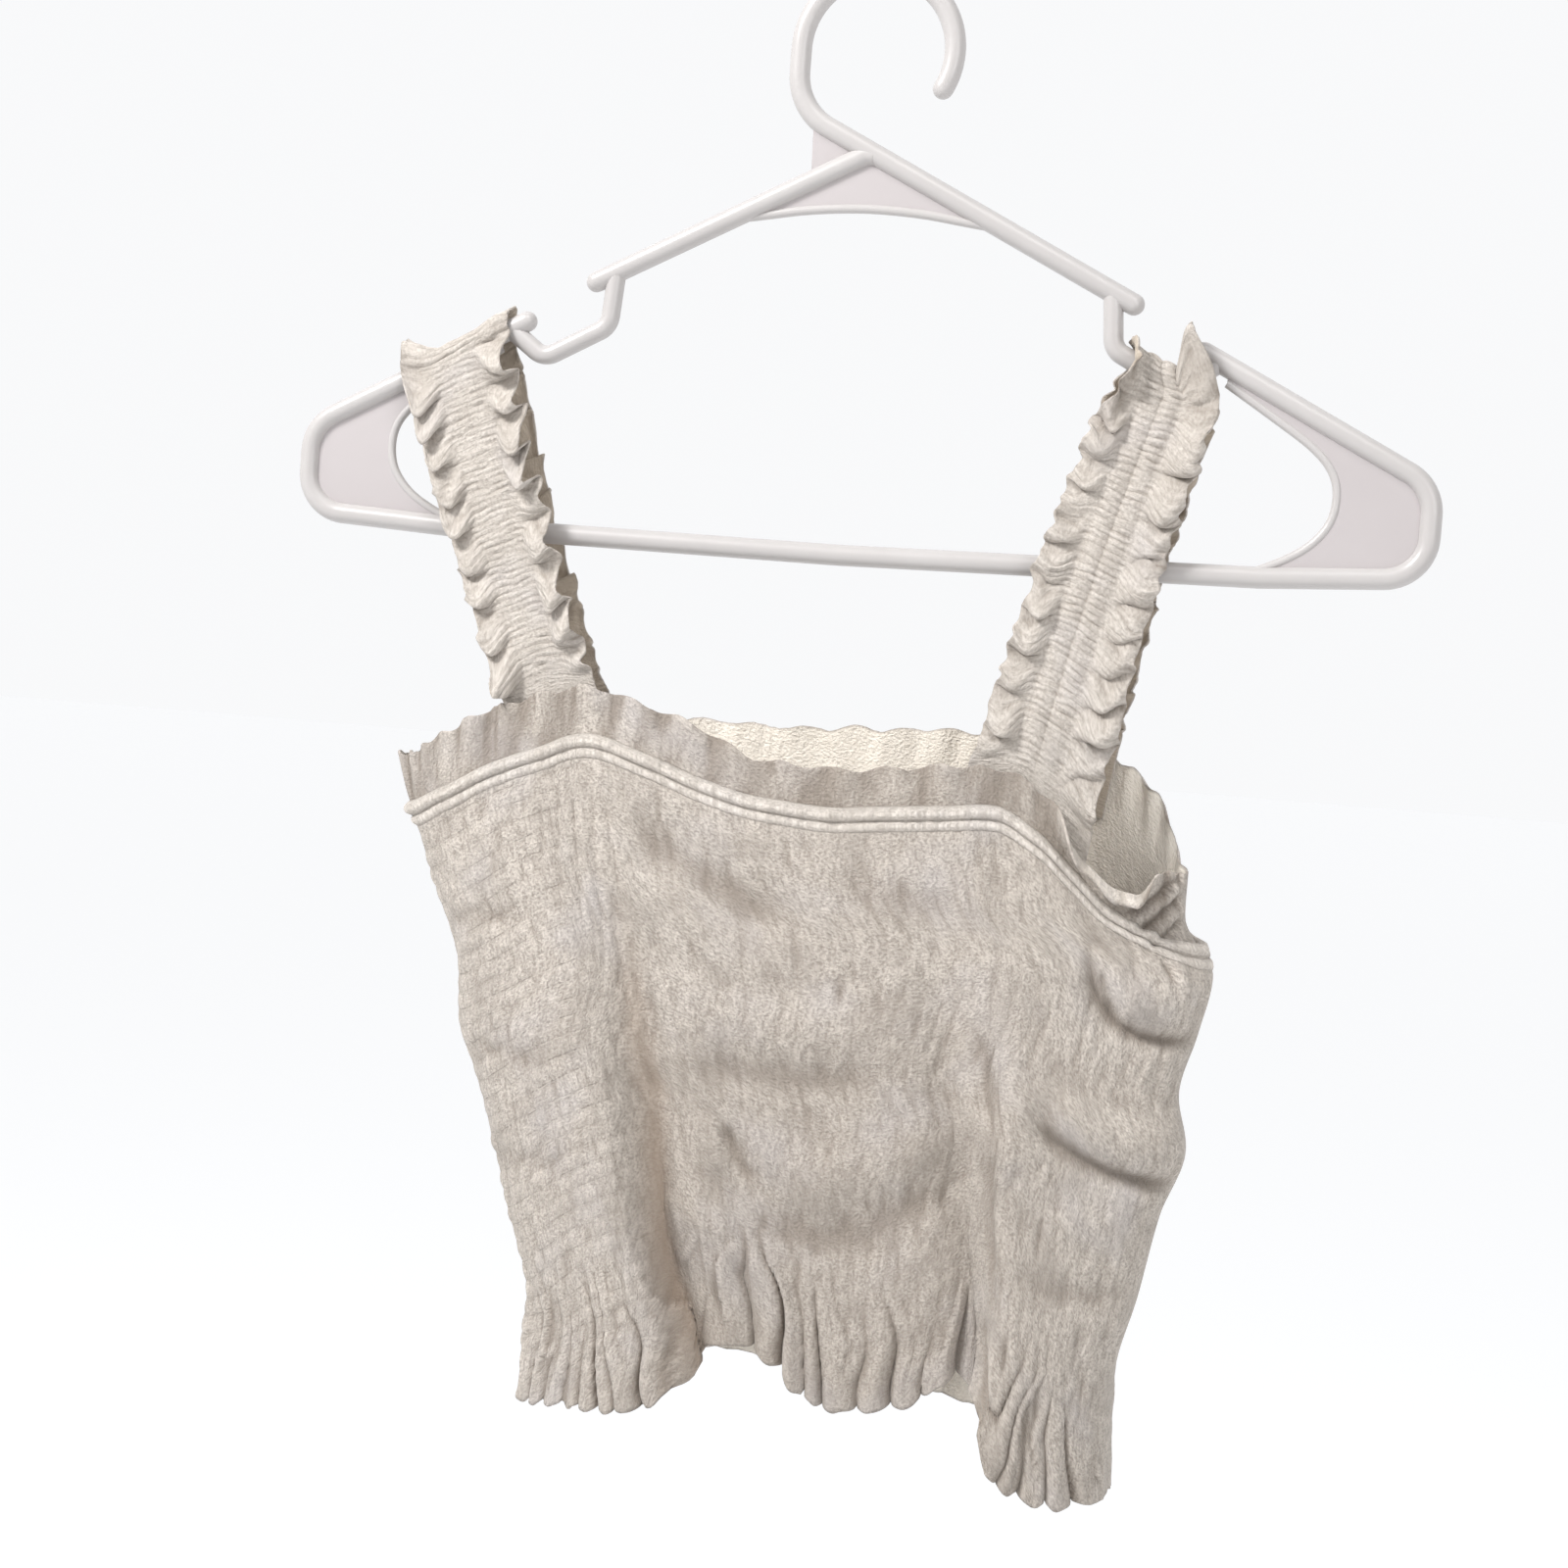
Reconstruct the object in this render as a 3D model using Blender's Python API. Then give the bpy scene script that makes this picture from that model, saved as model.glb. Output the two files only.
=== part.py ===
"""A smocked crop top with wide ruffled straps, hung on a plastic hanger.

Metres, +Z up, +X to the viewer's right, and the front of the top faces -Y. The origin is the
highest point inside the hanger's hook, where a rail carries it. The hanger lies in the XZ plane.
The sizes below are in millimetres, and every point is scaled by MM when its mesh is made.
"""

import math

import bmesh
import bpy
import numpy as np

MM = 0.001

# Cloth
WALL = 1.6
SEAM_GAP = 0.3
COLUMNS = 96
WAVES = 24
SMOCK_RELIEF = 0.55
BODY_ROWS_FRONT = 6
BODY_ROWS_BACK = 4
SIDE_ROUNDNESS = 0.6
WAVE_DRIFT = 0.9
WAVE_DRIFT_RATE = 9.0
GROOVE_DIP_WIDTH = 9.0
BACK_FOLD = 2.2
BACK_FOLD_TOP = -330.0
BACK_FOLD_RUN = 150.0

# Neckline frill, casing and hem ruffle
CASING_HALF = 2.8
CASING_HEIGHT = 1.5
NECK_FLARE = 1.5
NECK_GATHER = 1.1
NECK_SCALLOP = 0.9
NECK_ROW = 0.55
NECK_ROWS_LIFT = (1.0, 0.45)
RUFFLE_DEPTH = 3.6
RUFFLE_SCALLOP = 1.8
RUFFLE_ROWS = (0.35, 0.7, 1.0)
SIDE_CALM = 0.05
CASING_SECTION = (
    # part from the band's top line to its low line, height off the panel
    (0.04, SEAM_GAP),
    (0.3, CASING_HEIGHT),
    (0.7, CASING_HEIGHT),
    (0.96, SEAM_GAP),
)

# Neckline: x across the top, z of the frill's edge, z of the casing's middle
NECK_FRONT = (
    (-160.0, -289.5, -312.0),
    (-142.0, -281.5, -305.0),
    (-120.0, -270.5, -294.0),
    (-101.0, -263.0, -286.5),
    (-84.0, -260.0, -281.5),
    (-62.0, -264.5, -287.0),
    (-42.0, -271.0, -293.5),
    (-20.0, -280.5, -298.5),
    (5.0, -282.0, -300.5),
    (40.0, -278.5, -297.0),
    (66.0, -277.5, -295.0),
    (81.0, -284.0, -303.0),
    (94.0, -296.0, -315.0),
    (108.0, -307.0, -328.0),
    (132.0, -309.5, -338.0),
)
NECK_BACK = (
    (-160.0, -289.5, -312.0),
    (-140.0, -278.0, -301.0),
    (-100.0, -269.5, -293.0),
    (-20.0, -269.0, -292.5),
    (50.0, -265.5, -289.0),
    (100.0, -270.0, -294.0),
    (112.0, -275.5, -301.0),
    (122.0, -285.0, -312.0),
    (132.0, -309.5, -338.0),
)

# Hem: x across, z where the ruffle starts, z of the hem
HEM_FRONT = (
    (-92.0, -480.0, -519.0),
    (-66.0, -475.0, -518.0),
    (-52.0, -474.0, -515.5),
    (-40.0, -472.0, -512.0),
    (-30.0, -468.0, -503.0),
    (-22.0, -464.0, -492.5),
    (-14.0, -462.0, -490.5),
    (2.0, -465.0, -498.0),
    (22.0, -469.0, -510.0),
    (50.0, -469.0, -507.0),
    (68.0, -467.0, -494.0),
    (76.0, -471.0, -499.0),
    (83.0, -478.0, -521.0),
    (92.0, -484.0, -527.0),
    (108.0, -489.0, -530.5),
    (123.0, -492.0, -531.0),
)
HEM_BACK = (
    (-92.0, -480.0, -519.0),
    (-50.0, -470.0, -506.0),
    (10.0, -472.0, -508.0),
    (60.0, -475.0, -512.0),
    (95.0, -485.0, -522.0),
    (123.0, -492.0, -531.0),
)

# Body at each height: z, left and right side seams, how far the left roll, the middle and the
# right roll stand forward, the x of the two grooves between them, their depth and their width,
# and how far the back stands behind
BODY = (
    (-255.0, -161.0, 131.5, 16.0, 18.0, 17.0, -88.0, 66.0, 0.0, 60.0, 19.0),
    (-300.0, -156.5, 131.5, 21.0, 20.0, 20.0, -84.0, 66.0, 0.0, 56.0, 20.0),
    (-325.0, -147.5, 133.0, 25.0, 21.0, 23.0, -80.0, 66.0, 0.5, 46.0, 20.5),
    (-345.0, -139.0, 144.5, 28.0, 21.0, 27.0, -76.0, 66.0, 1.5, 38.0, 20.5),
    (-365.0, -131.0, 141.0, 31.0, 20.0, 25.0, -71.0, 66.5, 3.0, 30.0, 20.0),
    (-387.0, -128.5, 136.0, 33.0, 19.0, 27.0, -65.0, 67.5, 4.5, 24.0, 19.0),
    (-407.0, -120.0, 140.0, 34.0, 18.0, 31.0, -58.0, 69.0, 5.5, 20.0, 18.5),
    (-430.0, -112.0, 133.0, 35.0, 17.0, 30.0, -51.0, 71.0, 6.0, 17.0, 18.0),
    (-460.0, -102.0, 127.5, 37.0, 16.0, 32.0, -40.0, 75.0, 5.0, 14.0, 18.0),
    (-490.0, -91.5, 121.5, 39.0, 15.0, 34.0, -25.0, 77.5, 4.0, 11.0, 19.0),
    (-540.0, -92.5, 122.5, 42.0, 15.0, 36.0, -16.0, 63.0, 3.0, 10.0, 22.0),
)
BODY_COLUMNS = (
    "z",
    "left",
    "right",
    "roll_left",
    "middle",
    "roll_right",
    "groove_left",
    "groove_right",
    "dip",
    "turn",
    "behind",
)

# Straps, and the hanger's tube that they go round
TUBE = 3.75
STRAP_ROWS = 84
STRAP_WAVES = 21
STRAP_ACROSS = (-1.0, -0.72, -0.42, 0.0, 0.42, 0.72, 1.0)
STRAP_RISE = (1.0, 0.42, 0.0, 0.0, 0.0, 0.42, 1.0)
STRAP_WALL = 1.5
STRAP_FRILL = 3.4
STRAP_EDGE = 1.3
STRAP_SHIRR = 0.35
STRAP_TOP_ROWS = 8
STRAP_TIGHT = 34.0
STRAP_PINCH = 9.0
STRAP_TIGHT_CALM = 0.55
STRAP_BIAS = 0.25
STRAP_TIGHT_BIAS = 0.8
STRAP_SIDE_PHASE = 2.1
STRAP_EDGE_PHASE = 0.8
STRAP_SHIRR_HALF = 0.5
STRAP_CALM_FROM = 3.0
STRAP_CALM_RUN = 9.0
STRAP_END_RISE = 1.0
STRAP_TUCK_FROM = 16.0
STRAP_TUCK_RUN = 14.0
STRAP_EASE = 0.15
STRAP_REACH = TUBE + SEAM_GAP + 0.5 * STRAP_WALL + STRAP_EASE
STRAPS = (
    # name, x of the middle near the hanger, at the front casing and at the back casing, the half
    # width near the hanger and at the casings, and the bow to one side halfway down
    ("strap_left", -150.0, -91.5, -93.0, 20.0, 17.5, -2.5),
    ("strap_right", 114.0, 74.0, 78.0, 19.5, 23.0, -3.0),
)
# Where each strap crosses the hanger: place across the strap, x and z of its middle surface. The
# left one lies on the shoulder tube, and the right one is bunched in the notch.
STRAP_CREST = {
    "strap_left": (
        (-1.0, -170.0, -139.5),
        (-0.72, -164.4, -140.3),
        (-0.42, -158.4, -138.8),
        (0.0, -150.0, -134.4),
        (0.42, -141.6, -130.1),
        (0.72, -135.6, -127.0),
        (1.0, -130.0, -124.3),
    ),
    "strap_right": (
        (-1.0, 98.2, -123.2),
        (-0.72, 100.2, -125.1),
        (-0.42, 103.2, -126.8),
        (0.0, 110.0, -130.2),
        (0.42, 115.8, -131.6),
        (0.72, 117.3, -131.4),
        (1.0, 118.5, -130.8),
    ),
}

# Hanger
TUBE_SIDES = 8
CAP_RINGS = (
    # how far past the tube's end, and the size there, as parts of its radius
    (0.55, 0.83),
    (0.88, 0.48),
)
HALF_SPAN = 209.5
HOOK_RADIUS = 28.0
HOOK_TIP_DEG = -28.0
HOOK_STEPS = 16
HOOK_FILLET = 22.0
APEX_Z = -60.5
ARM_SLOPE = 0.513
ARM_END_X = 98.5
SHOULDER_TOP = (-124.0, -126.6)
SHOULDER_SLOPE = 0.52
SHOULDER_FILLET = 16.0
BAR_END = (-150.0, -203.8)
BAR_CORNER_Z = -200.8
BAR_MIDDLE_Z = -205.4
BAR_FILLET = 15.0
WEB_HALF = 0.9
FILLET_STEPS = 5
NOTCH = (
    # x, z, fillet
    (-91.0, -108.0, 0.0),
    (-92.5, -127.0, 7.0),
    (-116.5, -139.8, 7.0),
    (-129.0, -130.5, 0.0),
)
TOP_WEB = (
    (0.0, -62.0),
    (-49.0, -86.0),
    (-38.0, -84.9),
    (-20.0, -82.0),
    (0.0, -80.9),
    (20.0, -82.0),
    (38.0, -84.9),
    (49.0, -86.0),
)
STEM_WEB = (
    (-20.5, -49.0),
    (-20.5, -70.5),
    (-5.0, -62.0),
)
END_WEB = (
    (-127.0, -130.0),
    (-133.0, -139.0),
    (-150.0, -149.0),
    (-164.0, -157.6),
    (-171.2, -165.5),
    (-173.6, -174.0),
    (-172.0, -183.5),
    (-166.0, -191.5),
    (-157.0, -197.5),
    (-146.0, -203.2),
    (-190.0, -201.5),
    (-200.5, -196.5),
    (-205.0, -187.0),
    (-205.0, -176.0),
    (-199.5, -167.5),
    (-180.0, -157.5),
)


def material(name, colour, roughness):
    """A plain Principled material."""
    made = bpy.data.materials.new(name)
    made.use_nodes = True
    shader = made.node_tree.nodes["Principled BSDF"]
    shader.inputs["Base Color"].default_value = (*colour, 1.0)
    shader.inputs["Roughness"].default_value = roughness
    shader.inputs["Metallic"].default_value = 0.0
    return made


def ease(value):
    """Goes from 0 to 1 with level ends as value does."""
    value = np.clip(value, 0.0, 1.0)
    return value * value * (3.0 - 2.0 * value)


def through(knots, heights, at):
    """A smooth curve through points, level past its ends (monotone cubic pieces)."""
    knots = np.asarray(knots, float)
    heights = np.asarray(heights, float)
    steps = np.diff(knots)
    slopes = np.diff(heights) / steps
    tangents = np.zeros(len(knots))
    same_way = slopes[:-1] * slopes[1:] > 0
    mean = np.where(
        same_way,
        2.0 * slopes[:-1] * slopes[1:] / np.where(same_way, slopes[:-1] + slopes[1:], 1.0),
        0.0,
    )
    tangents[1:-1] = mean
    at = np.clip(np.asarray(at, float), knots[0], knots[-1])
    index = np.clip(np.searchsorted(knots, at, side="right") - 1, 0, len(steps) - 1)
    step = steps[index]
    part = (at - knots[index]) / step
    return (
        heights[index] * (1 + 2 * part) * (1 - part) ** 2
        + tangents[index] * step * part * (1 - part) ** 2
        + heights[index + 1] * part**2 * (3 - 2 * part)
        + tangents[index + 1] * step * part**2 * (part - 1)
    )


def body_at(column, z):
    """One column of the BODY table at the heights z."""
    index = BODY_COLUMNS.index(column)
    rows = sorted(BODY)
    return through([row[0] for row in rows], [row[index] for row in rows], z)


def edge_at(table, index, x):
    """One column of a neck or hem table at the places x."""
    return through([row[0] for row in table], [row[index] for row in table], x)


def across(share):
    """How far along the body's width a share of the panel lies, 0 to 1."""
    return 0.5 + 0.5 * np.sin(math.pi * (share - 0.5))


def front_depth(x, z):
    """How far the front stands forward of the side seams: two rolls with a lower middle."""
    turn = body_at("turn", z)
    left = ease((body_at("groove_left", z) - x) / turn + 0.5)
    right = ease((x - body_at("groove_right", z)) / turn + 0.5)
    middle = body_at("middle", z)
    depth = middle + left * (body_at("roll_left", z) - middle)
    depth = depth + right * (body_at("roll_right", z) - middle)
    inner_left = (x - body_at("groove_left", z) - 0.5 * turn) / GROOVE_DIP_WIDTH
    inner_right = (body_at("groove_right", z) - 0.5 * turn - x) / GROOVE_DIP_WIDTH
    return depth - body_at("dip", z) * (np.exp(-inner_left**2) + np.exp(-inner_right**2))


def back_depth(x, z):
    """How far the back stands behind the side seams, with its own soft folds."""
    lower = ease((BACK_FOLD_TOP - z) / BACK_FOLD_RUN)
    folds = np.sin(x / 17.0 + 0.6) + 0.6 * np.sin(x / 9.5 + z / 60.0)
    return body_at("behind", z) + BACK_FOLD * lower * folds


def panel_points(front, share, z):
    """Points of a panel's middle surface, in millimetres."""
    left = body_at("left", z)
    right = body_at("right", z)
    x = left + (right - left) * across(share)
    round_side = np.cos(math.pi * (share - 0.5)).clip(0.0) ** SIDE_ROUNDNESS
    depth = front_depth(x, z) if front else back_depth(x, z)
    seam = 0.5 * SEAM_GAP
    y = -(round_side * depth + seam) if front else round_side * depth + seam
    return np.stack([x, y, z], axis=-1)


def outward(front, share, z):
    """Unit vectors that point out of a panel, from its slopes along and across."""
    small_share, small_z = 0.004, 0.6
    before = np.clip(share - small_share, 0.0, 1.0)
    after = np.clip(share + small_share, 0.0, 1.0)
    along = panel_points(front, after, z) - panel_points(front, before, z)
    down = panel_points(front, share, z - small_z) - panel_points(front, share, z + small_z)
    normal = np.cross(along, down)
    normal *= -1.0 if front else 1.0
    normal = np.where((share < 1e-6)[..., None], (-1.0, 0.0, 0.0), normal)
    normal = np.where((share > 1.0 - 1e-6)[..., None], (1.0, 0.0, 0.0), normal)
    return normal / np.linalg.norm(normal, axis=-1, keepdims=True)


def panel_heights(front, share):
    """Height of every row of a panel, from the frill's edge to the hem."""
    neck, hem = (NECK_FRONT, HEM_FRONT) if front else (NECK_BACK, HEM_BACK)
    body_rows = BODY_ROWS_FRONT if front else BODY_ROWS_BACK
    place = across(share)
    x_top = neck[0][0] + (neck[-1][0] - neck[0][0]) * place
    x_hem = hem[0][0] + (hem[-1][0] - hem[0][0]) * place
    edge, casing = edge_at(neck, 1, x_top), edge_at(neck, 2, x_top)
    ruffle, bottom = edge_at(hem, 1, x_hem), edge_at(hem, 2, x_hem)
    top, low = casing + CASING_HALF, casing - CASING_HALF
    rows = [edge, edge + NECK_ROW * (top - edge), top, low]
    rows += [low + (ruffle - low) * step / body_rows for step in range(1, body_rows)]
    rows += [ruffle] + [ruffle + part * (bottom - ruffle) for part in RUFFLE_ROWS]
    return np.array(rows)


def panel_walls(front):
    """The outer and inner points of a panel, and the rows between which its casing lies."""
    share = np.linspace(0.0, 1.0, COLUMNS + 1)
    z = panel_heights(front, share)
    rows = len(z)
    share = np.broadcast_to(share, z.shape)
    calm = ease(np.minimum(share, 1.0 - share) / SIDE_CALM)
    phase = 2.0 * math.pi * WAVES * share + WAVE_DRIFT * np.sin(WAVE_DRIFT_RATE * share)
    wave = np.sin(phase)
    neck_part = np.zeros(rows)
    neck_part[: len(NECK_ROWS_LIFT)] = NECK_ROWS_LIFT
    hem_part = np.zeros(rows)
    hem_part[-len(RUFFLE_ROWS) :] = RUFFLE_ROWS
    neck_part, hem_part = neck_part[:, None], hem_part[:, None]
    lift = neck_part * calm * (NECK_FLARE + NECK_GATHER * (1.0 + wave))
    lift = lift + hem_part * calm * RUFFLE_DEPTH * wave
    z = z + (neck_part == 1.0) * calm * NECK_SCALLOP * np.cos(phase)
    z = z + (hem_part == 1.0) * calm * RUFFLE_SCALLOP * np.cos(phase)
    points = panel_points(front, share, z)
    normal = outward(front, share, z)
    middle = points + normal * lift[..., None]
    column = np.arange(COLUMNS + 1)
    row = np.arange(rows)[:, None]
    smocked = (row > 3) & (row < rows - 3)
    raised = np.where((column + row) % 2 == 0, SMOCK_RELIEF, 0.0) * smocked * calm
    outer = middle + normal * (0.5 * WALL + raised)[..., None]
    inner = middle - normal * (0.5 * WALL)
    return outer, inner


def grid_faces(rows, columns, start, flip):
    """Quads over a grid of points that starts at index start."""
    faces = []
    for row in range(rows - 1):
        for column in range(columns - 1):
            a = start + row * columns + column
            quad = (a, a + 1, a + columns + 1, a + columns)
            faces.append(quad[::-1] if flip else quad)
    return faces


def rim_of(rows, columns):
    """The indices round the edge of a grid, in order."""
    top = list(range(columns))
    right = [row * columns + columns - 1 for row in range(1, rows)]
    bottom = [(rows - 1) * columns + column for column in range(columns - 2, -1, -1)]
    left = [row * columns for row in range(rows - 2, 0, -1)]
    return top + right + bottom + left


def add_solid(name, vertices, faces, finish, smooth_deg):
    """A closed mesh object from points in millimetres, with its faces turned out."""
    mesh = bpy.data.meshes.new(name)
    mesh.from_pydata([tuple(point) for point in np.asarray(vertices) * MM], [], faces)
    shape = bmesh.new()
    shape.from_mesh(mesh)
    bmesh.ops.recalc_face_normals(shape, faces=shape.faces)
    shape.to_mesh(mesh)
    shape.free()
    mesh.shade_smooth()
    mesh.set_sharp_from_angle(angle=math.radians(smooth_deg))
    mesh.materials.append(finish)
    made = bpy.data.objects.new(name, mesh)
    bpy.context.scene.collection.objects.link(made)
    return made


def add_shell(name, outer, inner, finish):
    """A wall of cloth between two grids of points, closed round its edge."""
    rows, columns = outer.shape[:2]
    count = rows * columns
    faces = grid_faces(rows, columns, 0, False) + grid_faces(rows, columns, count, True)
    rim = rim_of(rows, columns)
    for here, after in zip(rim, rim[1:] + rim[:1]):
        faces.append((here, here + count, after + count, after))
    vertices = np.concatenate([outer.reshape(-1, 3), inner.reshape(-1, 3)])
    return add_solid(name, vertices, faces, finish, 50)


def add_casing(name, front, outer, finish):
    """The doubled seam band, made from its panel's outer points, moved out."""
    top, low = outer[2], outer[3]
    share = np.linspace(0.0, 1.0, COLUMNS + 1)
    normal = outward(front, share, 0.5 * (top[:, 2] + low[:, 2]))
    rings = [top + (low - top) * part + normal * height for part, height in CASING_SECTION]
    rings = np.stack(rings, axis=1)
    columns, sides = rings.shape[:2]
    faces = [tuple(range(sides)), tuple((columns - 1) * sides + side for side in range(sides))[::-1]]
    for column in range(columns - 1):
        for side in range(sides):
            a = column * sides + side
            b = column * sides + (side + 1) % sides
            faces.append((a, a + sides, b + sides, b))
    return add_solid(name, rings.reshape(-1, 3), faces, finish, 60)


def shoulder_z(x):
    """Height of the hanger's shoulder tube, its middle line, at x."""
    return SHOULDER_TOP[1] - SHOULDER_SLOPE * (abs(x) + SHOULDER_TOP[0])


def share_of(x, z):
    """The share of a panel at which it has the place x at the height z."""
    left, right = body_at("left", z), body_at("right", z)
    place = np.clip((x - left) / (right - left), 0.0, 1.0)
    return 0.5 + np.arcsin(2.0 * place - 1.0) / math.pi


def strap_run(front, crest, wide, end_x, end_half, bow, parts):
    """Middle points of one run of a strap, from beside the tube down to its casing."""
    offsets = np.array(STRAP_ACROSS)
    neck = NECK_FRONT if front else NECK_BACK
    away = -1.0 if front else 1.0
    end_places = end_x + offsets * end_half
    end_z = edge_at(neck, 2, end_places) + STRAP_END_RISE
    part = parts[:, None]
    top_z = crest[:, 1] - STRAP_REACH
    x = wide + (end_places - wide) * part + bow * np.sin(math.pi * part)
    z = top_z + (end_z - top_z) * part
    x = x + (crest[:, 0] - x) * (1.0 - ease((top_z - z) / STRAP_PINCH))
    panel = panel_points(front, share_of(x, z), z)
    behind = panel[..., 1] - away * (0.5 * WALL + SEAM_GAP + 0.5 * STRAP_WALL + STRAP_EASE)
    lowest = behind[np.argmax(parts)]
    straight = away * STRAP_REACH + (lowest - away * STRAP_REACH) * part
    edge_z = edge_at(neck, 1, x)
    blend = ease((edge_z + STRAP_TUCK_FROM - z) / STRAP_TUCK_RUN)
    y = straight + (behind - straight) * blend
    return np.stack([x, y, z], axis=-1), z - edge_z


def strap_walls(name, top_x, front_x, back_x, top_half, end_half, bow):
    """The outer and inner points of a strap that goes over the hanger."""
    offsets = np.array(STRAP_ACROSS)
    rise = np.array(STRAP_RISE)
    crest = np.array([row[1:] for row in STRAP_CREST[name]])
    wide = top_x + offsets * top_half
    parts = np.linspace(1.0, 0.0, (STRAP_ROWS - STRAP_TOP_ROWS) // 2 + 1)
    front, above_front = strap_run(True, crest, wide, front_x, end_half, bow, parts)
    back, above_back = strap_run(False, crest, wide, back_x, end_half, bow, parts[::-1])
    turns = np.linspace(0.0, math.pi, STRAP_TOP_ROWS + 1)[1:-1, None]
    over_z = crest[:, 1] - STRAP_REACH + STRAP_REACH * np.sin(turns)
    over_y = np.broadcast_to(-STRAP_REACH * np.cos(turns), over_z.shape)
    over = np.stack([np.broadcast_to(crest[:, 0], over_z.shape), over_y, over_z], axis=-1)
    points = np.concatenate([front, over, back])
    above = np.concatenate([above_front, np.full(over_y.shape, 99.0), above_back])
    way = np.zeros(points.shape)
    way[: len(front), :, 1] = -1.0
    way[len(front) : len(front) + len(over), :, 1] = -np.cos(turns)
    way[len(front) : len(front) + len(over), :, 2] = np.sin(turns)
    way[len(front) + len(over) :, :, 1] = 1.0
    row = np.arange(len(points))[:, None]
    free = ease((above - STRAP_CALM_FROM) / STRAP_CALM_RUN)
    side_phase = np.where(offsets < 0, 0.0, STRAP_SIDE_PHASE)
    phase = 2.0 * math.pi * STRAP_WAVES * row / (len(points) - 1) + side_phase
    tight = ease((points[..., 2] - crest[:, 1] + STRAP_TIGHT) / (0.5 * STRAP_TIGHT))
    bias = STRAP_BIAS + STRAP_TIGHT_BIAS * tight
    lift = STRAP_FRILL * rise * free * (1.0 - STRAP_TIGHT_CALM * tight) * (np.sin(phase) + bias)
    shirr = STRAP_SHIRR * (row % 2) * (np.abs(offsets) < STRAP_SHIRR_HALF) * free
    widen = STRAP_EDGE * rise * free * np.cos(phase + STRAP_EDGE_PHASE) * np.sign(offsets)
    middle = points + way * lift[..., None]
    middle[..., 0] += widen
    outer = middle + way * (0.5 * STRAP_WALL + shirr)[..., None]
    inner = middle - way * (0.5 * STRAP_WALL)
    return outer, inner


def rounded_path(corners):
    """A path of straight runs in XZ whose corners are rounded: rows of x, z and fillet."""
    path = [np.array(corners[0][:2], float)]
    for before, corner, after in zip(corners, corners[1:], corners[2:]):
        here = np.array(corner[:2], float)
        to_before = np.array(before[:2], float) - here
        to_after = np.array(after[:2], float) - here
        to_before /= np.linalg.norm(to_before)
        to_after /= np.linalg.norm(to_after)
        half = 0.5 * math.acos(float(np.clip(to_before @ to_after, -1.0, 1.0)))
        radius = corner[2]
        middle = to_before + to_after
        middle /= np.linalg.norm(middle)
        centre = here + middle * radius / math.sin(half)
        start = here + to_before * radius / math.tan(half) - centre
        end = here + to_after * radius / math.tan(half) - centre
        sweep = math.acos(float(np.clip(start @ end / radius**2, -1.0, 1.0)))
        for step in range(FILLET_STEPS + 1):
            part = step / FILLET_STEPS
            mix = math.sin((1 - part) * sweep) * start + math.sin(part * sweep) * end
            path.append(centre + mix / math.sin(sweep))
    path.append(np.array(corners[-1][:2], float))
    return np.array(path)


def add_tube(name, path, radius, finish, round_start=False, round_end=False):
    """A round tube along a path in the XZ plane, with flat or rounded ends."""
    path = np.asarray(path, float)
    directions = np.gradient(path, axis=0)
    directions /= np.linalg.norm(directions, axis=1, keepdims=True)
    stations = [(point, way, 1.0) for point, way in zip(path, directions)]
    if round_start:
        point, way = path[0], directions[0]
        stations = [(point - way * radius * far, way, size) for far, size in CAP_RINGS[::-1]] + stations
    if round_end:
        point, way = path[-1], directions[-1]
        stations = stations + [(point + way * radius * far, way, size) for far, size in CAP_RINGS]
    angles = np.arange(TUBE_SIDES) * 2.0 * math.pi / TUBE_SIDES + math.pi / TUBE_SIDES
    vertices = []
    for point, way, size in stations:
        side = np.array((-way[1], way[0]))
        for angle in angles:
            inside = point + side * radius * size * math.cos(angle)
            vertices.append((inside[0], radius * size * math.sin(angle), inside[1]))
    faces = [
        tuple(range(TUBE_SIDES)),
        tuple((len(stations) - 1) * TUBE_SIDES + side for side in range(TUBE_SIDES)),
    ]
    for station in range(len(stations) - 1):
        for side in range(TUBE_SIDES):
            a = station * TUBE_SIDES + side
            b = station * TUBE_SIDES + (side + 1) % TUBE_SIDES
            faces.append((a, b, b + TUBE_SIDES, a + TUBE_SIDES))
    return add_solid(name, vertices, faces, finish, 40)


def add_plate(name, outline, half, finish):
    """A flat plate in the XZ plane from its outline."""
    count = len(outline)
    vertices = [(x, -half, z) for x, z in outline] + [(x, half, z) for x, z in outline]
    faces = [tuple(range(count)), tuple(range(2 * count - 1, count - 1, -1))]
    for here in range(count):
        after = (here + 1) % count
        faces.append((here, after, after + count, here + count))
    return add_solid(name, vertices, faces, finish, 40)


def mirrored(rows):
    """The same rows on the other side of the hanger."""
    return [(-row[0], *row[1:]) for row in rows]


def hook_path():
    """The hook's middle line from its tip over the top, down the stem and along the right arm."""
    middle_z = TUBE - HOOK_RADIUS
    start, end = math.radians(HOOK_TIP_DEG), math.pi
    angles = [start + (end - start) * step / HOOK_STEPS for step in range(HOOK_STEPS + 1)]
    hook = [(HOOK_RADIUS * math.cos(a), middle_z + HOOK_RADIUS * math.sin(a)) for a in angles]
    corners = [
        (-HOOK_RADIUS, middle_z, 0.0),
        (-HOOK_RADIUS, APEX_Z + ARM_SLOPE * HOOK_RADIUS, HOOK_FILLET),
        (ARM_END_X, APEX_Z - ARM_SLOPE * ARM_END_X, 0.0),
    ]
    return np.array(hook + [tuple(point) for point in rounded_path(corners)[1:]])


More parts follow.
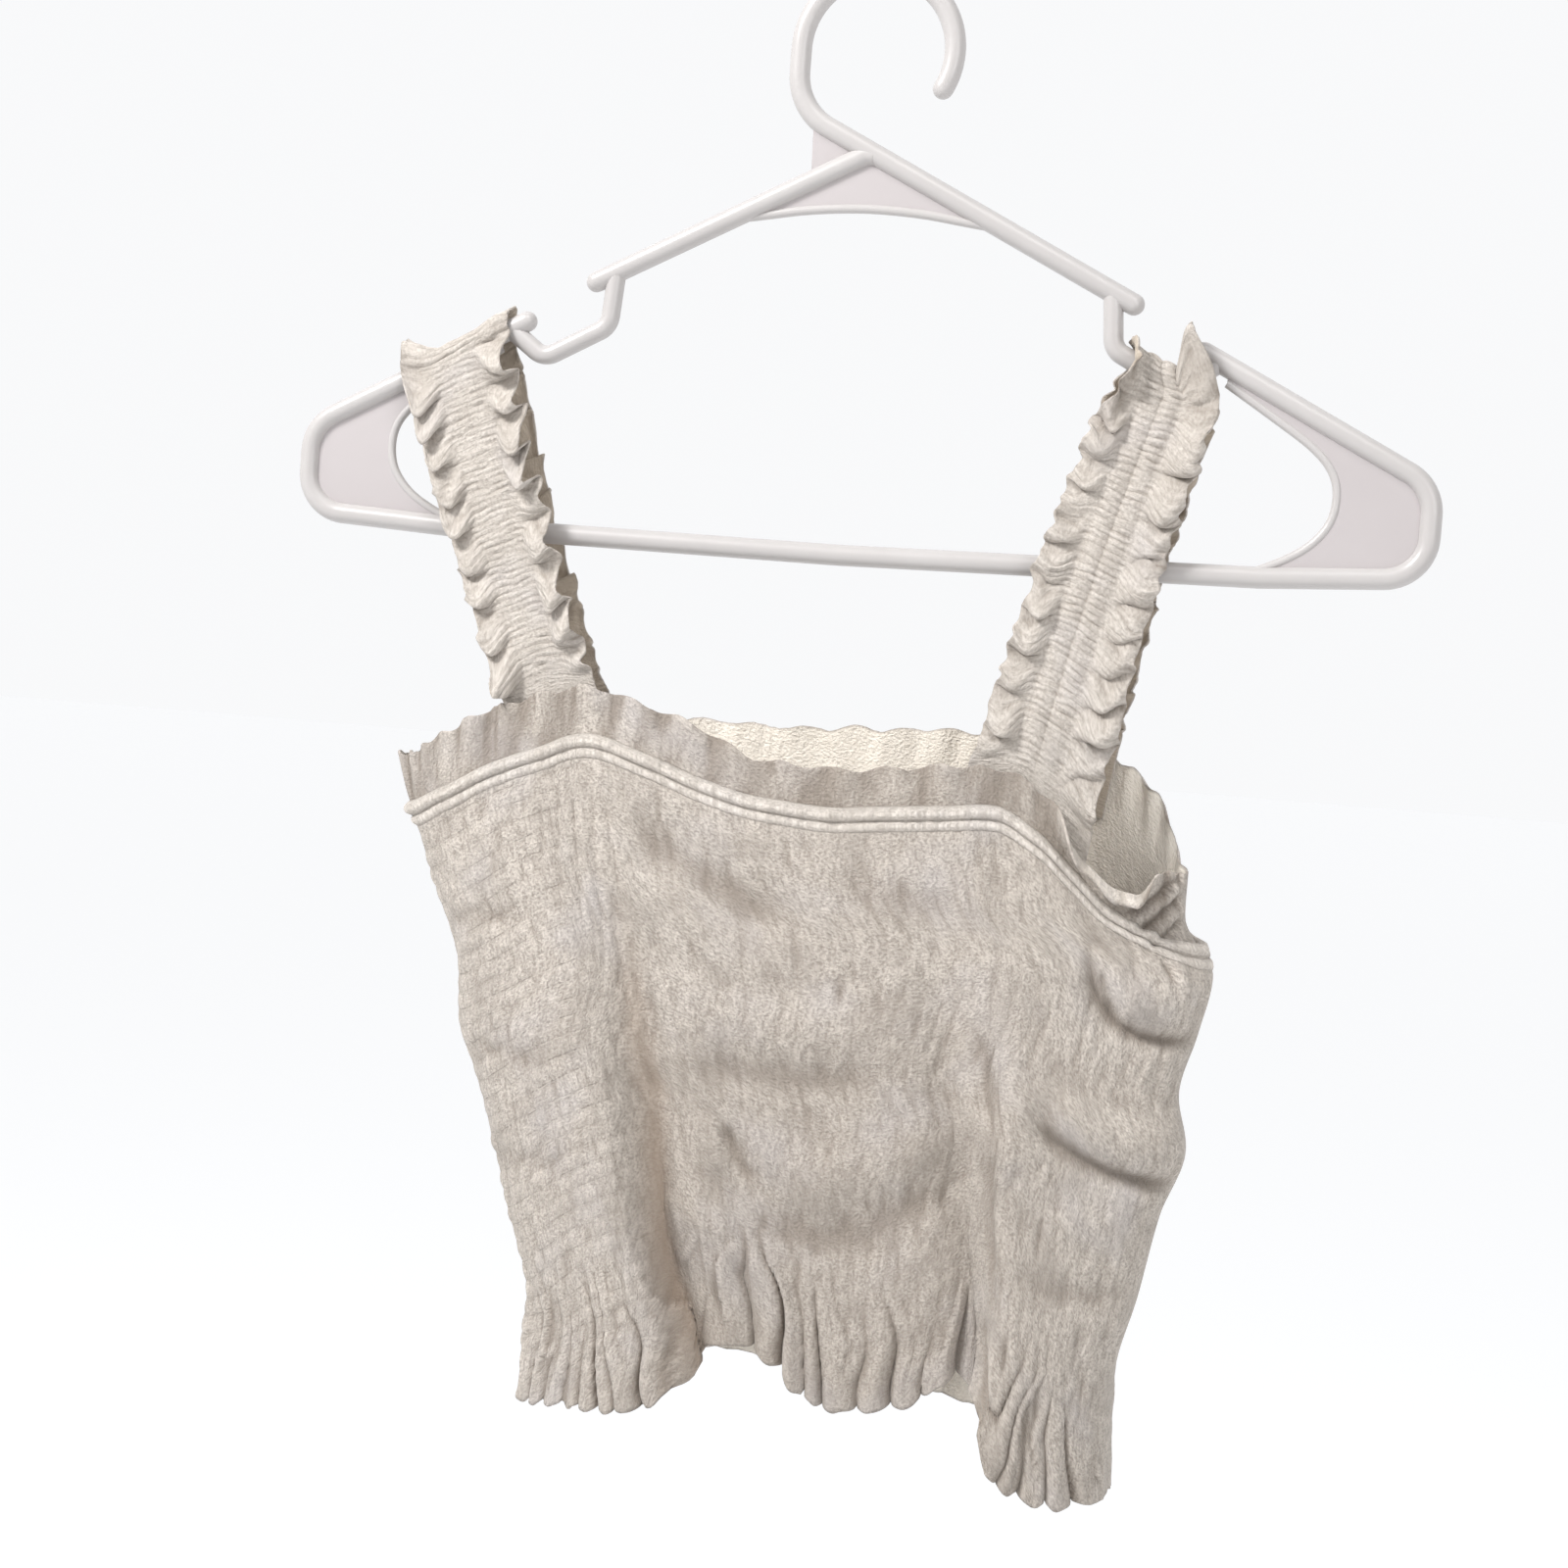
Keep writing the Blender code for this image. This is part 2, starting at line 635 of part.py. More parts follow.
def frame_path():
    """The outer arms, the rounded ends and the bar, from the left notch to the right one."""
    edge = HALF_SPAN - TUBE
    left = [
        (*SHOULDER_TOP, 0.0),
        (-edge, shoulder_z(edge), SHOULDER_FILLET),
        (-edge, BAR_CORNER_Z, BAR_FILLET),
        (*BAR_END, 60.0),
    ]
    corners = left + [(0.0, BAR_MIDDLE_Z, 400.0)] + mirrored(left)[::-1]
    return rounded_path(corners)


def build_hanger(finish):
    """The hanger, tubes and thin webs moulded in one."""
    left_arm = [(-0.5, APEX_Z - 1.2), (-ARM_END_X, APEX_Z - ARM_SLOPE * ARM_END_X)]
    hanger = add_tube("hanger", hook_path(), TUBE, finish, round_start=True, round_end=True)
    others = [
        add_tube("arm_left", left_arm, TUBE - 0.04, finish, round_end=True),
        add_tube("frame", frame_path(), TUBE - 0.02, finish, round_start=True, round_end=True),
        add_tube("notch_left", rounded_path(NOTCH), TUBE - 0.3, finish),
        add_tube("notch_right", rounded_path(mirrored(NOTCH)), TUBE - 0.3, finish),
        add_plate("top_web", TOP_WEB, WEB_HALF, finish),
        add_plate("stem_web", STEM_WEB, WEB_HALF + 0.1, finish),
        add_plate("web_left", END_WEB, WEB_HALF + 0.05, finish),
        add_plate("web_right", mirrored(END_WEB), WEB_HALF + 0.05, finish),
    ]
    for other in others:
        union = hanger.modifiers.new(other.name, "BOOLEAN")
        union.operation = "UNION"
        union.object = other
        other.hide_render = True
        other.display_type = "WIRE"
    return hanger


def build():
    """Clears the scene and makes every piece."""
    for old in list(bpy.data.objects):
        bpy.data.objects.remove(old, do_unlink=True)
    cloth = material("crinkled_cloth", (0.78, 0.74, 0.67), 0.9)
    band = material("casing_cloth", (0.74, 0.70, 0.63), 0.9)
    plastic = material("white_plastic", (0.80, 0.78, 0.77), 0.35)
    for front, name in ((True, "front"), (False, "back")):
        outer, inner = panel_walls(front)
        add_shell(name, outer, inner, cloth)
        add_casing("casing_" + name, front, outer, band)
    for name, *sizes in STRAPS:
        outer, inner = strap_walls(name, *sizes)
        add_shell(name, outer, inner, cloth)
    build_hanger(plastic)


build()
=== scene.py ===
"""Looks of a smocked crop top with wide ruffled straps that hangs on a plastic hanger.

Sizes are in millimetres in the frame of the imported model, and MM scales them when a mesh is made:
+Z up, +X to the viewer's right, and the front of the top faces -Y. The rail would carry the hanger
at the origin.
"""

import logging
import math
from collections.abc import Sequence
from dataclasses import dataclass, field
from enum import Enum
from typing import NamedTuple

import bpy
import numpy as np
from mathutils import Matrix, Vector


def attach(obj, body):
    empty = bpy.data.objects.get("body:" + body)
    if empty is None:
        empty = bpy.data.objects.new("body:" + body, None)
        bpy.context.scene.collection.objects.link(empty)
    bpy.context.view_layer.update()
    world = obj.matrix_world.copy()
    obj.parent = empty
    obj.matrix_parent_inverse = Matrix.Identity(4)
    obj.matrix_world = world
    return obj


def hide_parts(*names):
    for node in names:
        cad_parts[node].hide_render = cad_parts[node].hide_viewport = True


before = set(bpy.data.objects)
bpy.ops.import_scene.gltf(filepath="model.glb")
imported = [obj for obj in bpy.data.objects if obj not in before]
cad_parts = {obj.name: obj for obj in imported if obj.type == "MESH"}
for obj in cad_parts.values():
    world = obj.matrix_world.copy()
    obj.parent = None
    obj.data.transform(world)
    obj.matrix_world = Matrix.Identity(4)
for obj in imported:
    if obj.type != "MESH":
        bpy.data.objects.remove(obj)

MM = 0.001
BODY_NAME = "root"
CLOTH_UV = "cloth_place"
UV_SCALE = 0.01
WALL = 1.6
SEAM_GAP = 0.3
TUBE = 3.75
STRAP_HALF_WALL = 0.75
STRAP_CLEARANCE = 0.15
CREASE_SEGMENTS = 10
CREASE_FADE = 0.25
CREASE_END = 0.2

Array = np.ndarray
Piece = bpy.types.Object
Socket = bpy.types.NodeSocket
Pair = tuple[float, float]
Triple = tuple[float, float, float]
Colour = Triple


class BodyRow(NamedTuple):
    """The body at one height: its side seams, its two rolls of cloth and the grooves beside them."""

    z: float
    left: float
    right: float
    roll_left: float
    middle: float
    roll_right: float
    groove_left: float
    groove_right: float
    dip: float
    turn: float
    behind: float


BODY_ROWS = (
    BodyRow(-255, -161, 131.5, 16, 18, 17, -88, 66, 0, 60, 19),
    BodyRow(-300, -156.5, 131.5, 21, 20, 20, -84, 66, 0, 56, 20),
    BodyRow(-325, -147.5, 133, 25, 21, 23, -80, 66, 0.5, 46, 20.5),
    BodyRow(-345, -139, 144.5, 28, 21, 27, -76, 66, 1.5, 38, 20.5),
    BodyRow(-365, -131, 141, 31, 20, 25, -71, 66.5, 3, 30, 20),
    BodyRow(-387, -128.5, 136, 33, 19, 27, -65, 67.5, 4.5, 24, 19),
    BodyRow(-407, -120, 140, 34, 18, 31, -58, 69, 5.5, 20, 18.5),
    BodyRow(-430, -112, 133, 35, 17, 30, -53, 71, 6.5, 14, 18),
    BodyRow(-460, -102, 127.5, 37, 16, 32, -46.5, 75, 6.5, 9.5, 18),
    BodyRow(-490, -91.5, 121.5, 39, 15, 34, -34, 77.5, 5, 8, 19),
    BodyRow(-540, -92.5, 122.5, 42, 15, 36, -21.5, 63, 3, 9, 22),
)


class EdgeRow(NamedTuple):
    """A neckline or hem at one place: x, z of the outer edge's line and z of the sewn line."""

    x: float
    first: float
    second: float


def edge_rows(*rows: Triple) -> tuple[EdgeRow, ...]:
    """A neckline or hem from its bare numbers."""
    return tuple(EdgeRow(*row) for row in rows)


def edge_height(rows: Sequence[EdgeRow], column: str, x: Array) -> Array:
    """Height at x of one of a neckline's or hem's two lines, named by its column."""
    return through([row.x for row in rows], [getattr(row, column) for row in rows], x)


# Neckline: first is the frill's edge, and second is the middle of the casing.
NECK_FRONT = edge_rows(
    (-160, -289.5, -312), (-142, -281.5, -305), (-120, -270.5, -294),
    (-101, -263, -286.5), (-84, -260, -281.5), (-62, -264.5, -287),
    (-42, -271, -293.5), (-20, -280.5, -298.5), (5, -282, -300.5),
    (40, -278.5, -297), (66, -277.5, -295), (81, -284, -303),
    (94, -296, -315), (108, -307, -328), (132, -309.5, -338),
)
NECK_BACK = edge_rows(
    (-160, -289.5, -312), (-140, -278, -301), (-100, -269.5, -293),
    (-20, -269, -292.5), (50, -265.5, -289), (100, -270, -294),
    (112, -275.5, -301), (122, -285, -312), (132, -309.5, -338),
)
# Hem: first is where the ruffle starts, and second is the hem.
HEM_FRONT = edge_rows(
    (-92, -480, -519), (-66, -475, -518), (-52, -474, -515.5),
    (-40, -472, -512), (-30, -468, -503), (-22, -464, -492.5),
    (-14, -462, -490.5), (2, -465, -498), (22, -469, -510),
    (50, -469, -507), (68, -467, -494), (76, -471, -499),
    (83, -478, -521), (92, -484, -527), (108, -489, -530.5),
    (123, -492, -531),
)
HEM_BACK = edge_rows(
    (-92, -480, -519), (-50, -470, -506), (10, -472, -508),
    (60, -475, -512), (95, -485, -522), (123, -492, -531),
)


class Crease(NamedTuple):
    """A soft trough (depth below 0) or ridge (depth above 0) along a bent line on a panel."""

    start: Pair
    bend: Pair
    end: Pair
    width: float
    depth: float


def crease_rows(*rows: tuple[float, ...]) -> tuple[Crease, ...]:
    """Creases from x and z of their start, bend and end, then their width and depth."""
    return tuple(Crease(row[:2], row[2:4], row[4:6], *row[6:]) for row in rows)


FRONT_CREASES = crease_rows(
    # The bulge under the right armhole and the trough round its foot.
    (103, -336, 104, -374, 145, -366, 2.9, -4.6),
    (114, -350, 126, -353, 140, -350, 8.5, 4.2),
    (108, -343, 109, -354, 116, -363, 1.7, -1.9),
    (112, -342, 115, -353, 122, -361, 1.7, 1.5),
    (118, -341, 119, -349, 127, -353, 1.5, -1.8),
    (126, -338, 132, -344, 134, -354, 1.5, -1.9),
    (131, -338, 136, -345, 139, -353, 1.7, 1.4),
    # The second bulge, lower on the right roll.
    (88, -397, 110, -418, 142, -418, 3.4, -5.2),
    (92, -389, 116, -402, 140, -405, 8, 4.4),
    # Where the right roll begins.
    (65, -368, 73, -384, 75, -404, 4, -2.4),
    (78, -370, 84, -386, 86, -404, 6, 2),
    (73, -404, 75, -436, 80, -478, 3.6, -2),
    # Folds that run up to the side under the right armhole.
    (112, -325, 121, -320, 131, -308, 1.5, -2.8),
    (117, -331, 125, -325, 133, -314, 1.5, -2.8),
    (122, -336, 128, -331, 134, -322, 1.5, -2.2),
    (114, -329, 123, -322, 132, -311, 1.5, 1.8),
    (119, -334, 127, -328, 134, -318, 1.5, 1.6),
    # The hang of the middle, from the left shoulder across.
    (-68, -301, -44, -330, 8, -340, 10, -3.4),
    (-62, -322, -36, -346, 10, -356, 11, 1.6),
    (10, -318, 34, -330, 58, -326, 9, -1.4),
    (-40, -388, -6, -400, 36, -389, 8, -2.2),
    (-44, -370, -8, -379, 40, -372, 12, 2.2),
    (-24, -411, -19, -424, -9, -434, 2.8, -2.6),
    (-31, -408, -27, -420, -22, -432, 4, 2),
    (-16, -408, -10, -418, -2, -428, 3.6, 1.3),
    (-8, -440, 16, -470, 66, -417, 9.5, -2.8),
    (-6, -422, 18, -440, 60, -400, 10, 2.4),
    (-50, -440, -32, -452, -14, -450, 6, 1.5),
    # Lengthwise lines down the inner side of the left roll.
    (-89, -290, -85, -322, -78, -352, 1.2, -0.8),
    (-94, -292, -92, -318, -88, -346, 1.2, -0.7),
    (-99.5, -296, -98, -314, -96, -336, 1.1, -0.5),
    (-83, -290, -77, -322, -70, -358, 1.2, -0.9),
    (-78, -292, -72, -314, -66, -338, 1.1, -0.6),
    (-86, -290, -81, -322, -74, -354, 1.5, 0.7),
    (-71, -330, -66, -352, -60, -380, 1.8, -1.1),
    (-62, -352, -56, -380, -47, -412, 2, -1.1),
    (-54, -362, -49, -388, -40, -418, 2.2, -1),
    # Cross wrinkles on the left roll.
    (-138, -352, -118, -344, -98, -346, 4.5, -1.6),
    (-126, -398, -104, -392, -84, -396, 5, -1.4),
    (-112, -436, -92, -430, -72, -434, 5, -1.2),
    # Wrinkles across the foot of the right roll.
    (84, -452, 104, -462, 126, -456, 6, -1.6),
    (92, -436, 108, -430, 124, -436, 7, 1.2),
)
BACK_CREASES = crease_rows(
    # The same kinds of fold as on the front, placed by judgement because they are out of sight.
    (-140, -340, -112, -368, -70, -372, 8, -2),
    (-132, -330, -104, -352, -66, -356, 9, 1.4),
    (-118, -400, -92, -418, -58, -414, 6, -2.2),
    (-40, -330, 0, -352, 48, -340, 12, -1.8),
    (-30, -402, 8, -424, 52, -408, 10, -2),
    (-26, -390, 10, -406, 50, -394, 10, 1.4),
    (72, -352, 98, -372, 128, -364, 6, -2.6),
    (76, -342, 100, -356, 126, -352, 8, 1.8),
    (64, -430, 88, -446, 116, -438, 7, -2),
    (30, -360, 38, -400, 42, -450, 6, -1.6),
)
# Where a dark groove parts two flutes of the front hem, from side seam to side seam.
FLUTE_GROOVES_FRONT = (
    -92, -85, -79.7, -71.5, -66, -58, -49.5, -38.5, -31, -24.5, -7, 5.1, 13.5,
    20.5, 34.3, 45.9, 57, 68, 77.9, 85.5, 92.5, 103.5, 113.5, 123,
)  # fmt: skip
# How deep each of those grooves is, 1 being the usual depth.
FLUTE_DEPTHS_FRONT = (
    0.3, 0.3, 0.55, 0.2, 0.55, 1.05, 0.3, 1, 0.3, 0.5, 0.9, 1.2, 0.4,
    0.8, 0.8, 0.9, 0.7, 0.9, 0.7, 0.5, 0.9, 0.55, 0.85, 0.4,
)  # fmt: skip

# How far a groove of the front hem stands beside its foot, 22 mm higher: x at the hem, and x shift.
FLUTE_FAN_FRONT = (
    (-92, 3),
    (-78, 1),
    (-58, -4.6),
    (-38, -9),
    (-27, -5),
    (-17, -1.5),
    (20, -1.5),
    (60, -2.2),
    (76, 0),
    (86, 7.5),
    (104, 1),
    (124, -7),
)


def ease(value: Array | float) -> Array:
    """Goes from 0 to 1 with level ends as value does."""
    value = np.clip(value, 0.0, 1.0)
    return value * value * (3.0 - 2.0 * value)


class Stretch(NamedTuple):
    """A stretch of the body's width that fades in after its start and out before its end."""

    start: float
    run_in: float
    end: float
    run_out: float

    def fades(self, x: Array) -> tuple[Array, Array]:
        """How far x is in from the start and from the end, each from 0 to 1."""
        return ease((x - self.start) / self.run_in), ease((self.end - x) / self.run_out)


GREY_MIDDLE = Stretch(-62.0, 40.0, 118.0, 50.0)
HITCHED_HEM = Stretch(-62.0, 20.0, 92.0, 16.0)
CURLED_FRILL = Stretch(84.0, 13.0, 126.0, 15.0)


def through(knots: Sequence[float], heights: Sequence[float], at: Array | float) -> Array:
    """A smooth curve through points, level past its ends, in monotone cubic pieces.

    Args:
        knots: where the points are, rising.
        heights: the curve's value at each of them.
        at: where to read the curve.

    Returns:
        The curve's values.
    """
    knots = np.asarray(knots, float)
    heights = np.asarray(heights, float)
    steps = np.diff(knots)
    slopes = np.diff(heights) / steps
    same_way = slopes[:-1] * slopes[1:] > 0
    total = np.where(same_way, slopes[:-1] + slopes[1:], 1.0)
    tangents = np.zeros(len(knots))
    tangents[1:-1] = np.where(same_way, 2.0 * slopes[:-1] * slopes[1:] / total, 0.0)
    at = np.clip(np.asarray(at, float), knots[0], knots[-1])
    index = np.clip(np.searchsorted(knots, at, side="right") - 1, 0, len(steps) - 1)
    step = steps[index]
    part = (at - knots[index]) / step
    return (
        heights[index] * (1 + 2 * part) * (1 - part) ** 2
        + tangents[index] * step * part * (1 - part) ** 2
        + heights[index + 1] * part**2 * (3 - 2 * part)
        + tangents[index + 1] * step * part**2 * (part - 1)
    )


def soft_noise(u: Array, v: Array, cell_u: float, cell_v: float, seed: int) -> Array:
    """Smooth repeatable noise.

    Args:
        u: place across, in the same units as cell_u.
        v: place along, in the same units as cell_v.
        cell_u: size of a cell across.
        cell_v: size of a cell along.
        seed: which noise.

    Returns:
        Values from -1 to 1.
    """
    size = 256
    table = np.random.default_rng(seed).uniform(-1.0, 1.0, (size, size))
    x, y = np.broadcast_arrays(np.asarray(u) / cell_u, np.asarray(v) / cell_v)
    x_low, y_low = np.floor(x).astype(int), np.floor(y).astype(int)
    x_part, y_part = ease(x - x_low), ease(y - y_low)
    x_low, y_low = x_low % size, y_low % size
    x_high, y_high = (x_low + 1) % size, (y_low + 1) % size
    low = table[x_low, y_low] * (1 - x_part) + table[x_high, y_low] * x_part
    high = table[x_low, y_high] * (1 - x_part) + table[x_high, y_high] * x_part
    return low * (1 - y_part) + high * y_part


def noise_of(kind: Enum, u: Array, v: Array, seed: int) -> Array:
    """Soft noise whose kind holds a step of the seed and the size of a cell across and along.

    Args:
        kind: a member of one of the noise enums.
        u: place across.
        v: place along.
        seed: the piece's own seed.

    Returns:
        Values from -1 to 1.
    """
    step, cell_u, cell_v = kind.value
    return soft_noise(u, v, cell_u, cell_v, seed + step)


def blurred(values: Array, rows: int, columns: int) -> Array:
    """Values of a grid, each averaged with its neighbours.

    Args:
        values: the grid.
        rows: how many rows to each side count.
        columns: how many columns to each side count.

    Returns:
        The averaged grid.
    """
    for axis, reach in ((0, rows), (1, columns)):
        pad = [(0, 0), (0, 0)]
        pad[axis] = (reach + 1, reach)
        total = np.cumsum(np.pad(values, pad, mode="edge"), axis=axis)
        count = 2 * reach + 1
        high = np.take(total, range(count, total.shape[axis]), axis=axis)
        low = np.take(total, range(0, total.shape[axis] - count), axis=axis)
        values = (high - low) / count
    return values


def hollows(lift: Array, rows: int, columns: int, full: float) -> Array:
    """How deep each point lies below its neighbourhood, 0 to 1.

    Args:
        lift: the height of each grid point, in millimetres.
        rows: reach of the neighbourhood along the rows.
        columns: reach of the neighbourhood along the columns.
        full: the depth that counts as 1.

    Returns:
        The depths.
    """
    return np.clip((blurred(lift, rows, columns) - lift) / full, 0.0, 1.0)


def crease_lift(creases: Sequence[Crease], x: Array, z: Array) -> Array:
    """How far the creases lift a panel.

    Args:
        creases: the creases of that panel.
        x: place across the panel.
        z: height on the panel.

    Returns:
        The lift at each place, below 0 in a trough.
    """
    parts = np.linspace(0.0, 1.0, CREASE_SEGMENTS + 1)
    lift = np.zeros(np.shape(x))
    for crease in creases:
        start, bend, end = (np.array(point) for point in crease[:3])
        line = [(1 - part) ** 2 * start + 2 * part * (1 - part) * bend + part**2 * end for part in parts]
        nearest = np.full(np.shape(x), np.inf)
        along = np.zeros(np.shape(x))
        for number, (first, last) in enumerate(zip(line, line[1:])):
            way = last - first
            on_line = ((x - first[0]) * way[0] + (z - first[1]) * way[1]) / (way @ way)
            on_line = np.clip(on_line, 0.0, 1.0)
            off_x, off_z = x - first[0] - on_line * way[0], z - first[1] - on_line * way[1]
            distance = off_x**2 + off_z**2
            along = np.where(distance < nearest, (number + on_line) / CREASE_SEGMENTS, along)
            nearest = np.minimum(nearest, distance)
        fade = ease(along / CREASE_FADE) * ease((1.0 - along) / CREASE_FADE)
        fade = fade * (1.0 - CREASE_END) + CREASE_END
        lift += crease.depth * fade * np.exp(-nearest / crease.width**2)
    return lift


def crease_shade(creases: Sequence[Crease], x: Array, z: Array) -> Array:
    """How much darker the cloth is in the narrow bottoms of the troughs.

    Args:
        creases: the creases of that panel.
        x: place across the panel.
        z: height on the panel.

    Returns:
        Values from 0 to 1.
    """
    bottom_width, darkest = 0.55, 6.0
    troughs = [crease for crease in creases if crease.depth < 0.0]
    bottoms = [crease._replace(width=bottom_width * crease.width) for crease in troughs]
    return np.clip(crease_lift(bottoms, x, z) / -darkest, 0.0, 1.0)


@dataclass(frozen=True)
class BodyForm:
    """The body's form without its gathers, the same as in the solids.

    A share of a panel is 0 at its left side seam and 1 at its right one.
    """

    side_roundness: float = 0.6
    dip_width: float = 9.0
    back_fold: float = 2.2
    back_fold_top: float = -330.0
    back_fold_run: float = 150.0
    back_fold_width: float = 17.0
    back_fold_shift: float = 0.6
    small_fold: float = 0.6
    small_fold_width: float = 9.5
    small_fold_slant: float = 60.0
    share_step: float = 0.004
    z_step: float = 0.6

    def at(self, column: str, z: Array) -> Array:
        """One column of the body's table at the heights z."""
        rows = sorted(BODY_ROWS)
        return through([row.z for row in rows], [getattr(row, column) for row in rows], z)

    def place(self, share: Array) -> Array:
        """How far along the body's width a share of the panel lies, 0 to 1."""
        return 0.5 + 0.5 * np.sin(math.pi * (share - 0.5))

    def x_at(self, share: Array, z: Array) -> Array:
        """The x of a share of the panel at the heights z."""
        left = self.at("left", z)
        return left + (self.at("right", z) - left) * self.place(share)

    def share_at(self, x: Array, z: Array) -> Array:
        """The share of the panel that lies at a place.

        Args:
            x: place across the body.
            z: height.

        Returns:
            The share, 0 to 1.
        """
        left, right = self.at("left", z), self.at("right", z)
        part = np.clip((x - left) / (right - left), 0.0, 1.0)
        return 0.5 + np.arcsin(2.0 * part - 1.0) / math.pi

    def front_depth(self, x: Array, z: Array) -> Array:
        """How far the front stands forward: two rolls of cloth with a lower middle.

        Args:
            x: place across the body.
            z: height.

        Returns:
            The depth, in millimetres.
        """
        turn = self.at("turn", z)
        groove_left, groove_right = self.at("groove_left", z), self.at("groove_right", z)
        middle = self.at("middle", z)
        depth = middle + ease((groove_left - x) / turn + 0.5) * (self.at("roll_left", z) - middle)
        depth = depth + ease((x - groove_right) / turn + 0.5) * (self.at("roll_right", z) - middle)
        inner_left = (x - groove_left - 0.5 * turn) / self.dip_width
        inner_right = (groove_right - 0.5 * turn - x) / self.dip_width
        return depth - self.at("dip", z) * (np.exp(-(inner_left**2)) + np.exp(-(inner_right**2)))

    def back_depth(self, x: Array, z: Array) -> Array:
        """How far the back stands behind, with its own soft folds.

        Args:
            x: place across the body.
            z: height.

        Returns:
            The depth, in millimetres.
        """
        lower = ease((self.back_fold_top - z) / self.back_fold_run)
        small = np.sin(x / self.small_fold_width + z / self.small_fold_slant)
        folds = np.sin(x / self.back_fold_width + self.back_fold_shift) + self.small_fold * small
        return self.at("behind", z) + self.back_fold * lower * folds

    def points(self, front: bool, share: Array, z: Array) -> Array:
        """Points of a panel's middle surface.

        Args:
            front: whether it is the front panel.
            share: the share of the panel.
            z: heights.

        Returns:
            The points, in millimetres.
        """
        x = self.x_at(share, z)
        round_side = np.cos(math.pi * (share - 0.5)).clip(0.0) ** self.side_roundness
        depth = self.front_depth(x, z) if front else self.back_depth(x, z)
        y = round_side * depth + 0.5 * SEAM_GAP
        return np.stack([x, -y if front else y, z], axis=-1)

    def outward(self, front: bool, share: Array, z: Array) -> Array:
        """Directions that point out of a panel.

        Args:
            front: whether it is the front panel.
            share: the share of the panel.
            z: heights.

        Returns:
            Unit vectors, straight to the side at the side seams.
        """
        before = np.clip(share - self.share_step, 0.0, 1.0)
        after = np.clip(share + self.share_step, 0.0, 1.0)
        along = self.points(front, after, z) - self.points(front, before, z)
        down = self.points(front, share, z - self.z_step) - self.points(front, share, z + self.z_step)
        normal = np.cross(along, down) * (-1.0 if front else 1.0)
        for at_seam, away in ((share < 1e-6, -1.0), (share > 1.0 - 1e-6, 1.0)):
            normal = np.where(at_seam[..., None], (away, 0.0, 0.0), normal)
        return normal / np.linalg.norm(normal, axis=-1, keepdims=True)


FORM = BodyForm()


